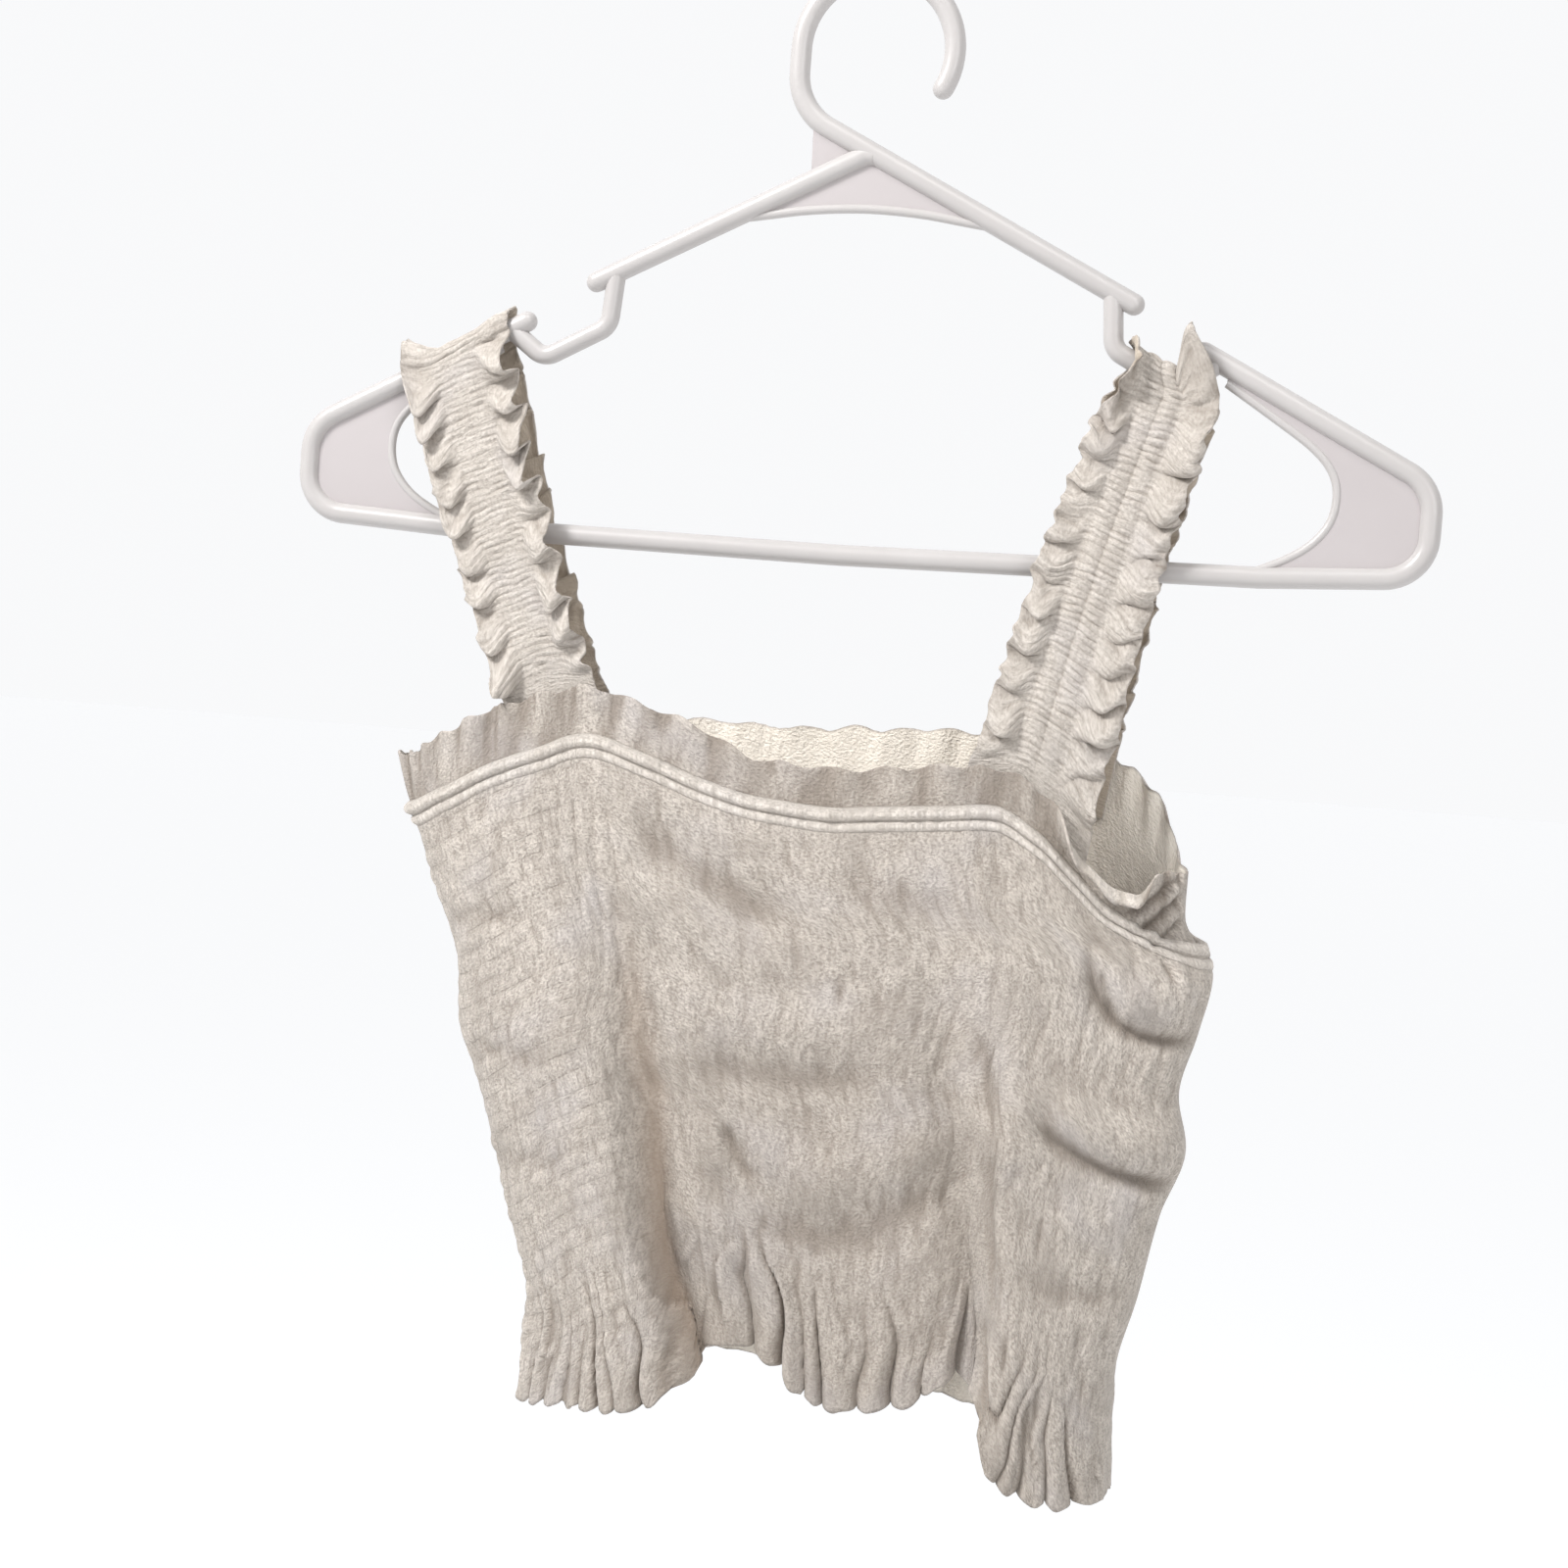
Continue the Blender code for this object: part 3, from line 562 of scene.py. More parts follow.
class NodeBench:
    """Adds nodes to one material in short lines."""

    def __init__(self, name: str) -> None:
        """Makes the material with its shader and output.

        Args:
            name: the material's name.
        """
        self.material = bpy.data.materials.new(name)
        self.material.use_nodes = True
        self.tree = self.material.node_tree
        self.shader = self.tree.nodes["Principled BSDF"]

    def add(self, kind: str, **settings: object) -> bpy.types.Node:
        """Adds a node and sets its properties.

        Args:
            kind: the node's type.
            settings: its properties by name.

        Returns:
            The node.
        """
        node = self.tree.nodes.new(kind)
        for key, value in settings.items():
            setattr(node, key, value)
        return node

    def feed(self, socket: Socket, value: object) -> None:
        """Links a socket to another, or sets it to a value.

        Args:
            socket: the socket that takes it.
            value: another node's output, or a plain value.
        """
        if isinstance(value, Socket):
            self.tree.links.new(value, socket)
        else:
            socket.default_value = value

    def feed_all(self, node: bpy.types.Node, values: dict[str, object]) -> None:
        """Feeds a node's sockets by their names."""
        for name, value in values.items():
            self.feed(node.inputs[name], value)

    def worked_out(self, kind: str, operation: str, values: Sequence[object]) -> Socket:
        """Adds a node that works something out.

        Args:
            kind: the node's type.
            operation: what it does.
            values: what its sockets take, in order.

        Returns:
            The result.
        """
        node = self.add(kind, operation=operation)
        for socket, value in zip(node.inputs, values):
            self.feed(socket, value)
        return node.outputs[0]

    def maths(self, operation: str, *values: object) -> Socket:
        """The result of a Math node."""
        return self.worked_out("ShaderNodeMath", operation, values)

    def vector_maths(self, operation: str, *values: object) -> Socket:
        """The result of a Vector Math node."""
        return self.worked_out("ShaderNodeVectorMath", operation, values)

    def noise(self, place: Socket, size: float, detail: float, roughness: float = 0.55) -> bpy.types.Node:
        """Adds a Noise Texture node.

        Args:
            place: where it is read.
            size: the size of its grain, in the units of place.
            detail: how much finer grain it adds.
            roughness: how strong the finer grain is.

        Returns:
            The node.
        """
        node = self.add("ShaderNodeTexNoise")
        settings = {"Vector": place, "Scale": 1.0 / size, "Detail": detail, "Roughness": roughness}
        self.feed_all(node, settings)
        return node

    def spread(self, value: Socket, ends: Pair) -> Socket:
        """Spreads a value so that its low end gives 0 and its high end gives 1.

        Args:
            value: the value.
            ends: its low and its high end.

        Returns:
            The spread value.
        """
        node = self.add("ShaderNodeMapRange")
        self.feed_all(node, {"Value": value, "From Min": ends[0], "From Max": ends[1]})
        return node.outputs["Result"]

    def mix(self, part: object, first: object, second: object) -> Socket:
        """Mixes two colours.

        Args:
            part: how much of the second there is, 0 to 1.
            first: the first colour.
            second: the second colour.

        Returns:
            The mixed colour.
        """
        node = self.add("ShaderNodeMix", data_type="RGBA")
        self.feed(node.inputs[0], part)
        for socket, value in ((node.inputs[6], first), (node.inputs[7], second)):
            self.feed(socket, (*value, 1.0) if isinstance(value, tuple) else value)
        return node.outputs[2]

    def drawn_to(self, colour: Socket, part: Socket, strength: float, other: Colour) -> Socket:
        """The colour, drawn towards another by part times strength."""
        return self.mix(self.maths("MULTIPLY", part, strength), colour, other)

    def bump(self, height: Socket, distance: float) -> Socket:
        """Adds a Bump node of full strength.

        Args:
            height: the relief.
            distance: what a height of 1 stands for, in metres.

        Returns:
            The bumped direction.
        """
        node = self.add("ShaderNodeBump")
        self.feed_all(node, {"Strength": 1.0, "Distance": distance, "Height": height})
        return node.outputs[0]

    def mask(self, name: str) -> Socket:
        """A value that the mesh carries at each point."""
        return self.add("ShaderNodeAttribute", attribute_name=name).outputs["Fac"]


class CrinkleLay(Enum):
    """Which way the cloth's fine crinkles run."""

    DOWN = "down"
    ACROSS = "across"


@dataclass(frozen=True)
class ClothFinish:
    """Crinkled cotton: fine puckers over a plain weave, with a soft sheen. Sizes are millimetres."""

    name: str
    lay: CrinkleLay = CrinkleLay.DOWN
    # Painted light and shade: lit goes on the crinkles' crests; the next colour is painted shade in their
    # valleys and row lines, and also takes the random patches.
    lit: Colour = (0.63, 0.57, 0.51)
    shade_and_mottle: Colour = (0.36, 0.318, 0.28)
    # Painted shade colour, drawn in by the mesh's shade mask.
    deep: Colour = (0.235, 0.195, 0.16)
    # Painted warm shadow in the groove beside the left roll.
    painted_groove_shadow: Colour = (0.40, 0.31, 0.24)
    cool: Colour = (0.56, 0.53, 0.545)
    # The inner side's colour: partly the cloth's own creamier side and partly painted light through the
    # cloth.
    inner: Colour = (0.94, 0.87, 0.77)
    streak_width: float = 1.5
    streak_length: float = 4.2
    streak_depth: float = 0.8
    streak_colour: float = 0.45
    crepe_size: float = 1.0
    crepe_depth: float = 0.85
    crepe_colour: float = 0.55
    raised_ends: Pair = (0.4, 0.6)
    thread_pitch: float = 0.42
    thread_depth: float = 0.04
    row_pitch: float = 6.4
    row_depth: float = 0.3
    row_colour: float = 0.35
    row_wander: float = 0.25
    row_thinness: float = 14.0
    broken_size: float = 4.5
    broken_ends: Pair = (0.38, 0.6)
    wander: float = 1.3
    wander_size: float = 12.0
    patch_size: float = 21.0
    patch_ends: Pair = (0.46, 0.66)
    patch_colour: float = 0.5
    cloud_size: float = 38.0
    cloud_ends: Pair = (0.5, 0.8)
    cloud_colour: float = 0.45
    shade_colour: float = 0.75
    inner_light_and_shade: float = 0.7
    coarse_grain: float = 0.6
    roughness: float = 0.88
    specular: float = 0.25
    sheen: float = 0.22
    sheen_roughness: float = 0.5
    sheen_tint: Colour = (1.0, 0.97, 0.93)

    def build(self) -> bpy.types.Material:
        """Makes the material.

        Returns:
            The cloth's material, which reads its place from the mesh's own map in millimetres.
        """
        bench = NodeBench(self.name)
        place = bench.vector_maths("SCALE", bench.add("ShaderNodeUVMap", uv_map=CLOTH_UV).outputs[0])
        bench.feed(place.node.inputs["Scale"], 1.0 / UV_SCALE)
        drift = bench.noise(place, self.wander_size, 1.0).outputs["Color"]
        drift = bench.vector_maths("SUBTRACT", drift, (0.5, 0.5, 0.5))
        drift = bench.vector_maths("MULTIPLY", drift, (2.0 * self.wander,) * 3)
        wandering = bench.vector_maths("ADD", place, drift)
        across, along = 1.0 / self.streak_width, 1.0 / self.streak_length
        if self.lay is CrinkleLay.ACROSS:
            across, along = along, across
        streak_place = bench.vector_maths("MULTIPLY", wandering, (across, along, 1.0))
        streak = bench.noise(streak_place, 1.0, 3.0, self.coarse_grain).outputs["Fac"]
        crepe = bench.noise(place, self.crepe_size, 2.0).outputs["Fac"]
        parts = bench.add("ShaderNodeSeparateXYZ")
        bench.feed(parts.inputs[0], place)
        turn = 2.0 * math.pi / self.thread_pitch
        warp, weft = (bench.maths("SINE", bench.maths("MULTIPLY", parts.outputs[n], turn)) for n in (0, 1))
        threads = bench.maths("MULTIPLY", warp, weft)
        broken = bench.spread(bench.noise(place, self.broken_size, 1.0).outputs["Fac"], self.broken_ends)
        rows = bench.maths("MULTIPLY", self.row_lines(bench, wandering, parts), bench.mask("rows"))
        rows = bench.maths("MULTIPLY", rows, broken)
        height = bench.maths("MULTIPLY", streak, self.streak_depth)
        for relief, depth in (
            (crepe, self.crepe_depth),
            (threads, self.thread_depth),
            (rows, -self.row_depth),
        ):
            height = bench.maths("MULTIPLY_ADD", relief, depth, height)
        normal = bench.bump(height, MM)
        # Painted light and shade: the crinkles' crests take the lit colour and their valleys the darker one,
        # over the bump's own shading.
        raised = bench.maths("MULTIPLY", streak, self.streak_colour)
        raised = bench.maths("MULTIPLY_ADD", crepe, self.crepe_colour, raised)
        colour = bench.mix(bench.spread(raised, self.raised_ends), self.shade_and_mottle, self.lit)
        patch = bench.noise(wandering, self.patch_size, 3.0, self.coarse_grain).outputs["Fac"]
        patch = bench.spread(patch, self.patch_ends)
        colour = bench.drawn_to(colour, patch, self.patch_colour, self.shade_and_mottle)
        # The row lines are drawn darker, partly their own stitching and partly painted shade, strongest where
        # the light grazes the rows.
        colour = bench.drawn_to(colour, rows, self.row_colour, self.shade_and_mottle)
        cloudy = bench.spread(bench.noise(place, self.cloud_size, 2.0).outputs["Fac"], self.cloud_ends)
        colour = bench.drawn_to(colour, cloudy, self.cloud_colour, self.cool)
        # Painted shade from the mesh's shade mask: hollows, crease troughs, gathers and gaps between flaps,
        # with the panels' broad greyness.
        colour = bench.drawn_to(colour, bench.mask("shade"), self.shade_colour, self.deep)
        # Painted warm shadow in the groove beside the left roll.
        colour = bench.mix(bench.mask("painted_groove_shadow"), colour, self.painted_groove_shadow)
        # Painted on the inner side: light through the cloth on the panels and casing, shade on the straps.
        colour = bench.drawn_to(colour, bench.mask("inside"), self.inner_light_and_shade, self.inner)
        finish = {
            "Base Color": colour,
            "Normal": normal,
            "Roughness": self.roughness,
            "Specular IOR Level": self.specular,
            "Sheen Weight": self.sheen,
            "Sheen Roughness": self.sheen_roughness,
            "Sheen Tint": (*self.sheen_tint, 1.0),
        }
        bench.feed_all(bench.shader, finish)
        return bench.material

    def row_lines(self, bench: NodeBench, wandering: Socket, parts: bpy.types.Node) -> Socket:
        """Thin lines where the elastic rows are stitched.

        Args:
            bench: the material's bench.
            wandering: the wandering place on the cloth.
            parts: a node that gives the plain place's numbers.

        Returns:
            A value that is 1 on a row's line and 0 between rows.
        """
        wandered = bench.add("ShaderNodeSeparateXYZ")
        bench.feed(wandered.inputs[0], wandering)
        along = bench.maths("MULTIPLY", parts.outputs[1], 1.0 - self.row_wander)
        along = bench.maths("MULTIPLY_ADD", wandered.outputs[1], self.row_wander, along)
        turn = bench.maths("FRACT", bench.maths("DIVIDE", along, self.row_pitch))
        near = bench.maths("ABSOLUTE", bench.maths("SUBTRACT", turn, 0.5))
        return bench.maths("POWER", bench.maths("MULTIPLY", near, 2.0), self.row_thinness)


@dataclass(frozen=True)
class PlasticFinish:
    """Moulded plastic with a satin skin. Sizes are millimetres."""

    name: str
    colour: Colour = (0.50, 0.48, 0.47)
    shaded: Colour = (0.44, 0.415, 0.405)
    roughness: float = 0.34
    roughness_change: float = 0.14
    skin_size: float = 1.1
    skin_depth: float = 0.012
    cloud_size: float = 45.0
    coat: float = 0.12
    coat_roughness: float = 0.25
    glow: float = 0.08
    glow_reach: float = 2.0

    def build(self) -> bpy.types.Material:
        """Makes the material.

        Returns:
            The plastic's material, laid out over the object's own place.
        """
        bench = NodeBench(self.name)
        place = bench.add("ShaderNodeTexCoord").outputs["Object"]
        place = bench.vector_maths("MULTIPLY", place, (1.0 / MM,) * 3)
        cloudy = bench.noise(place, self.cloud_size, 2.0).outputs["Fac"]
        skin = bench.noise(place, self.skin_size, 3.0).outputs["Fac"]
        least = self.roughness - 0.5 * self.roughness_change
        finish = {
            "Normal": bench.bump(skin, MM * self.skin_depth),
            "Base Color": bench.mix(cloudy, self.shaded, self.colour),
            "Roughness": bench.maths("MULTIPLY_ADD", skin, self.roughness_change, least),
            "Coat Weight": self.coat,
            "Coat Roughness": self.coat_roughness,
            "Subsurface Weight": self.glow,
            "Subsurface Radius": (self.glow_reach * MM,) * 3,
        }
        bench.feed_all(bench.shader, finish)
        return bench.material


def grid_normals(points: Array, side: float) -> Array:
    """Unit vectors square to a grid of points.

    Args:
        points: the grid, rows by columns by 3.
        side: 1 or -1, which side they point to.

    Returns:
        The vectors, one for each point.
    """
    along_columns = np.gradient(points, axis=1)
    along_rows = np.gradient(points, axis=0)
    normal = np.cross(along_columns, along_rows) * side
    return normal / np.maximum(np.linalg.norm(normal, axis=-1, keepdims=True), 1e-9)


def grid_quads(rows: int, columns: int, start: int, flip: bool) -> Array:
    """The quads of a grid of points.

    Args:
        rows: how many rows of points it has.
        columns: how many columns of points it has.
        start: the index of its first point.
        flip: whether the quads face the other way.

    Returns:
        The quads, four point indices each.
    """
    first = (np.arange(rows - 1)[:, None] * columns + np.arange(columns - 1)[None, :]).ravel() + start
    quads = np.stack([first, first + 1, first + columns + 1, first + columns], axis=1)
    return quads[:, ::-1] if flip else quads


def rim_quads(rows: int, columns: int, flip: bool) -> Array:
    """The quads that close the edge between two equal grids, the second right after the first.

    Args:
        rows: how many rows of points each grid has.
        columns: how many columns of points each grid has.
        flip: whether the quads face the other way.

    Returns:
        The quads, four point indices each.
    """
    count = rows * columns
    top = np.arange(columns)
    right = np.arange(1, rows) * columns + columns - 1
    bottom = (rows - 1) * columns + np.arange(columns - 2, -1, -1)
    left = np.arange(rows - 2, 0, -1) * columns
    rim = np.concatenate([top, right, bottom, left])
    after = np.roll(rim, -1)
    quads = np.stack([rim, rim + count, after + count, after], axis=1)
    return quads[:, ::-1] if flip else quads


def mesh_from(name: str, vertices: Array, faces: Sequence[Sequence[int]], smooth_deg: float) -> Piece:
    """An object from points in millimetres.

    Args:
        name: the object's name.
        vertices: its points.
        faces: its faces, as lists of point indices.
        smooth_deg: edges that turn less than this are shaded smooth.

    Returns:
        The object, linked to the scene.
    """
    mesh = bpy.data.meshes.new(name)
    mesh.from_pydata((np.asarray(vertices) * MM).tolist(), [], [list(map(int, face)) for face in faces])
    mesh.shade_smooth()
    mesh.set_sharp_from_angle(angle=math.radians(smooth_deg))
    made = bpy.data.objects.new(name, mesh)
    bpy.context.scene.collection.objects.link(made)
    return made


def cloth_shell(
    name: str,
    middle: Array,
    cloth_uv: Array,
    thickness: float,
    side: float,
    masks: dict[str, Array],
    paler: float = 1.0,
) -> Piece:
    """A thin wall of cloth round a grid of points.

    Args:
        name: the object's name.
        middle: the wall's middle surface, rows by columns by 3.
        cloth_uv: the place on the cloth of each point, in millimetres.
        thickness: the wall's thickness.
        side: 1 or -1, which side of the grid is the outside.
        masks: values that the material reads, one for each point of the grid.
        paler: how strongly the inner side takes the finish's inner colour, painted light through the cloth on
            the panels and casing and painted shade on the straps, 0 to 1.

    Returns:
        The closed shell.
    """
    rows, columns = middle.shape[:2]
    normal = grid_normals(middle, side)
    outer = middle + normal * 0.5 * thickness
    inner = middle - normal * 0.5 * thickness
    vertices = np.concatenate([outer.reshape(-1, 3), inner.reshape(-1, 3)])
    count = rows * columns
    turned = side < 0
    faces = np.concatenate(
        [
            grid_quads(rows, columns, 0, turned),
            grid_quads(rows, columns, count, not turned),
            rim_quads(rows, columns, turned),
        ]
    )
    made = mesh_from(name, vertices, faces, 180.0)
    mesh = made.data
    twice = np.concatenate([cloth_uv.reshape(-1, 2)] * 2) * UV_SCALE
    loops = np.empty(len(mesh.loops), np.int32)
    mesh.loops.foreach_get("vertex_index", loops)
    mesh.uv_layers.new(name=CLOTH_UV).data.foreach_set("uv", twice[loops].astype(np.float32).ravel())
    covered = np.ones((rows, columns))
    covered[[0, -1]] = covered[:, [0, -1]] = 0.0
    carried = {key: (values, values) for key, values in masks.items()}
    carried["inside"] = (np.zeros((rows, columns)), paler * covered)
    for key, sides in carried.items():
        both = np.concatenate([np.broadcast_to(values, (rows, columns)).ravel() for values in sides])
        attribute = mesh.attributes.new(key, "FLOAT", "POINT")
        attribute.data.foreach_set("value", both.astype(np.float32))
    return made


class PanelNoise(Enum):
    """A panel's noises: the step of its seed, and the size of a cell across and down."""

    RIDGE = (0, 3.1, 1.6)
    FOLD = (1, 7.5, 1.4)
    FLUTE_PRESSED = (2, 1.0, 1.0)
    FLUTE_START = (3, 1.0, 1.0)
    SLANT = (4, 70.0, 60.0)
    CRINKLE = (5, 1.9, 7.5)
    COARSE_CRINKLE = (6, 3.2, 12.0)
    LUMP = (7, 15.0, 19.0)
    SMALL_LUMP = (8, 7.0, 9.0)
    FRILL_CRINKLE = (9, 1.8, 8.0)
    HEM_CRINKLE = (10, 2.0, 9.0)
    PUFF = (11, 2.7, 1.0)
    FLUTE_DEPTH = (12, 1.0, 1.0)
    FLUTE_TIP = (13, 0.31, 1.0)
    FAN = (20, 24.0, 1.0)
    PLEATS = (41, 5.5, 40.0)


class ClothPlace(NamedTuple):
    """Where each point of a panel's grid lies: its share of the panel from the left side seam and its
    height, how far up the frill and down the ruffle it is, 0 to 1, and its place on the cloth across
    and down from the casing, in millimetres.
    """

    share: Array
    z: Array
    up: Array
    down: Array
    across: Array
    along: Array

    @property
    def x(self) -> Array:
        """The place across the body."""
        return FORM.x_at(self.share, self.z)


class Hollow(NamedTuple):
    """How a hollow darkens the cloth: how much, its reach in rows and columns, and the full depth."""

    strength: float
    rows: int
    columns: int
    full: float

    def shade(self, lift: Array) -> Array:
        """How much darker each point is."""
        return self.strength * hollows(lift, self.rows, self.columns, self.full)


@dataclass
class Panel:
    """The front or the back: neckline frill, smocked body and hem ruffle in one length."""

    name: str
    front: bool
    finish: bpy.types.Material
    seeds: tuple[int, int] = (11, 31)
    flute_seeds: tuple[int, int] = (7, 9)
    columns: int = 316
    frill_rows: int = 18
    casing_rows: int = 5
    smocked_rows: int = 100
    ruffle_rows: int = 30
    measured_z: float = -420.0
    evenness: float = 0.72
    thickness: float = 0.9
    waves: int = 24
    wave_drift: float = 0.9
    side_calm: float = 0.05
    casing_half: float = 2.8
    casing_fade: float = 5.0
    hem_hitch: float = 3.5
    flute_run: float = 22.0
    flute_wander: float = 0.36
    flute_roundness: float = 0.55
    flute_bulge: float = 0.45
    flute_groove: float = 1.3
    flute_lean: float = 0.7
    ruffle_depth: float = 4.6
    ruffle_scallop: float = 1.7
    neck_flare: float = 1.5
    neck_gather: float = 1.3
    neck_scallop: float = 0.9
    neck_fan: float = 2.0
    neck_ridge: float = 0.6
    neck_fold: float = 1.05
    curl_turn: float = 2.9
    curl_start: float = 0.25
    row_pitch: float = 6.4
    row_groove: float = 0.42
    crinkle_slant: float = 5.0
    crinkle_height: float = 0.42
    coarse_crinkle: float = 0.8
    puff_height: float = 1.3
    lump_height: float = 0.55
    small_lump: float = 0.7
    frill_crinkle: float = 0.22
    hem_crinkle: float = 0.34
    hem_smoothness: float = 0.6
    fine_hollow: Hollow = Hollow(0.75, 2, 4, 0.8)
    wide_hollow: Hollow = Hollow(0.6, 8, 16, 2.4)
    crease_darkness: float = 0.7
    # How much of the paler inner colour each panel's inner side takes, partly painted light through the
    # cloth.
    inner_glow: Pair = (0.3, 1.15)
    flat_size: Pair = (0.37, 0.262)
    shares: Array = field(init=False)
    reach: float = field(init=False)

    def __post_init__(self) -> None:
        """Spaces the columns evenly along the cloth."""
        share = np.linspace(0.0, 1.0, 4001)
        line = FORM.points(self.front, share, np.full(share.shape, self.measured_z))
        reach = np.concatenate([[0.0], np.cumsum(np.linalg.norm(np.diff(line, axis=0), axis=1))])
        even = np.interp(np.linspace(0.0, reach[-1], self.columns), reach, share)
        self.shares = self.evenness * even + (1.0 - self.evenness) * np.linspace(0.0, 1.0, self.columns)
        self.reach = reach[-1]

    @property
    def side(self) -> float:
        """Which side of the grid is the outside."""
        return -1.0 if self.front else 1.0

    @property
    def creases(self) -> tuple[Crease, ...]:
        """The creases listed for this panel."""
        return FRONT_CREASES if self.front else BACK_CREASES

    def of_this(self, pair: Sequence[float]) -> float:
        """The front's or the back's number of a pair."""
        return pair[0] if self.front else pair[1]

    def noise(self, kind: PanelNoise, u: Array, v: Array | float = 0.0) -> Array:
        """One of the panel's noises at places across and down."""
        return noise_of(kind, u, v, self.of_this(self.seeds))

    def calm(self, share: Array) -> Array:
        """Goes to 0 at the side seams, where the cloth has no relief of its own."""
        return ease(np.minimum(share, 1.0 - share) / self.side_calm)

    def lines(self, share: Array) -> tuple[Array, Array, Array, Array]:
        """The lines that cross the panel.

        Args:
            share: share of the panel.

        Returns:
            Heights of the frill's edge, the casing's middle, the ruffle's start and the hem.
        """
        neck, hem = (NECK_FRONT, HEM_FRONT) if self.front else (NECK_BACK, HEM_BACK)
        heights = []
        for rows in (neck, hem):
            x = rows[0].x + (rows[-1].x - rows[0].x) * FORM.place(share)
            heights += [edge_height(rows, "first", x), edge_height(rows, "second", x)]
        return tuple(heights)

    def wave_phase(self, share: Array) -> Array:
        """The angle of the panel's waves."""
        return 2.0 * math.pi * self.waves * share + self.wave_drift * np.sin(9.0 * share)

    def flute_place(self, at: ClothPlace, bottom: Array) -> Array:
        """How many flutes of the hem lie before each point, whole at each groove.

        Args:
            at: where the points lie.
            bottom: height of the hem there.

        Returns:
            The number of flutes, with a part of a flute behind the point.
        """
        high = (at.z - bottom) / self.flute_run
        wander = soft_noise(at.share * self.waves, high, 1.1, 1.0, self.of_this(self.flute_seeds))
        wander = self.flute_wander * wander * (0.4 + high)
        if not self.front:
            return (self.wave_phase(at.share) - 0.5 * math.pi) / (2.0 * math.pi) + wander
        x_hem = HEM_FRONT[0].x + (HEM_FRONT[-1].x - HEM_FRONT[0].x) * FORM.place(at.share)
        fan = np.interp(x_hem, *zip(*FLUTE_FAN_FRONT))
        x_foot = x_hem - fan * np.clip(high, 0.0, 2.0)
        return np.interp(x_foot, FLUTE_GROOVES_FRONT, np.arange(len(FLUTE_GROOVES_FRONT))) + wander

    def form_lift(self, share: Array, z: Array) -> Array:
        """The lift of the listed creases."""
        return crease_lift(self.creases, FORM.x_at(share, z), z) * self.calm(share)

    def grid(self) -> tuple[Array, Array, Array, Array]:
        """Places the grid's points.

        Returns:
            Share of the panel, height, how far up the frill and how far down the ruffle each point is.
        """
        share = self.shares
        edge, casing, ruffle, bottom = self.lines(share)
        top, low = casing + self.casing_half, casing - self.casing_half
        frill = np.linspace(0.0, 1.0, self.frill_rows, endpoint=False)[:, None]
        band = np.linspace(0.0, 1.0, self.casing_rows, endpoint=False)[:, None]
        smocked = np.linspace(0.0, 1.0, self.smocked_rows, endpoint=False)[:, None]
        down = np.linspace(0.0, 1.0, self.ruffle_rows)[:, None]
        z = np.concatenate(
            [
                edge + (top - edge) * frill,
                top + (low - top) * band,
                low + (ruffle - low) * smocked,
                ruffle + (bottom - ruffle) * down,
            ]
        )
        blank = np.zeros((self.casing_rows + self.smocked_rows, 1))
        up = np.concatenate([1.0 - frill, blank, np.zeros_like(down)]) + 0.0 * share
        down = np.concatenate([np.zeros_like(frill), blank, down]) + 0.0 * share
        return np.broadcast_to(share, z.shape), z, up, down

    def ruffle_lift(self, at: ClothPlace, ruffle: Array, bottom: Array) -> tuple[Array, Array]:
        """The flutes of the hem.

        Args:
            at: where the points lie.
            ruffle: height where the ruffle starts.
            bottom: height of the hem.

        Returns:
            How far the flutes lift the cloth, and how far they let its edge down.
        """
        flute = self.flute_place(at, bottom)
        tube = np.abs(np.sin(math.pi * flute)) ** self.flute_roundness
        nearest = np.round(flute)
        pressed = self.noise(PanelNoise.FLUTE_PRESSED, np.floor(flute) * 1.7)
        start = 0.5 * self.noise(PanelNoise.FLUTE_START, nearest * 1.3)
        depth = 1.0 + 0.4 * self.noise(PanelNoise.FLUTE_DEPTH, nearest * 2.3)
        if self.front:
            depth = np.interp(nearest, np.arange(len(FLUTE_DEPTHS_FRONT)), FLUTE_DEPTHS_FRONT)
        below = (ruffle - at.z) / (ruffle - bottom)
        spread = ease((below + 0.22 + start) / 1.15) * ease((below + 1.0) / 0.5)
        lean = np.sin(2.0 * math.pi * flute) * self.flute_lean * pressed
        bulge = self.flute_bulge + 0.34 * pressed + depth * self.flute_groove * (tube - 1.0)
        lift = spread * self.ruffle_depth * bulge + spread**2 * lean
        let_down = 1.7 * tube - 0.9 + 0.6 * pressed + 0.35 * self.noise(PanelNoise.FLUTE_TIP, flute)
        return lift, np.clip(below, 0.0, 1.0) ** 2 * self.ruffle_scallop * let_down

    def frill_lift(self, at: ClothPlace) -> tuple[Array, Array]:
        """The gathers of the neckline's frill.

        Args:
            at: where the points lie.

        Returns:
            How far the gathers lift the cloth, and how far they raise its edge.
        """
        up = at.up
        fan = at.across + self.neck_fan * up * self.noise(PanelNoise.FAN, at.across, up)
        ridge = 1.0 - 2.2 * np.abs(self.noise(PanelNoise.RIDGE, fan, up))
        fold = self.noise(PanelNoise.FOLD, fan, up)
        phase = self.wave_phase(at.share)
        bunched = 1.0 + 0.9 * ease((0.16 - at.share) / 0.1)
        gathers = self.neck_ridge * ridge + self.neck_fold * fold
        lift = self.neck_flare * up + up**0.7 * bunched * gathers
        lift = lift + up * self.neck_gather * np.sin(phase) * 0.7
        return lift, up**3 * self.neck_scallop * (np.cos(phase) + 0.9 * fold + 0.3 * ridge)

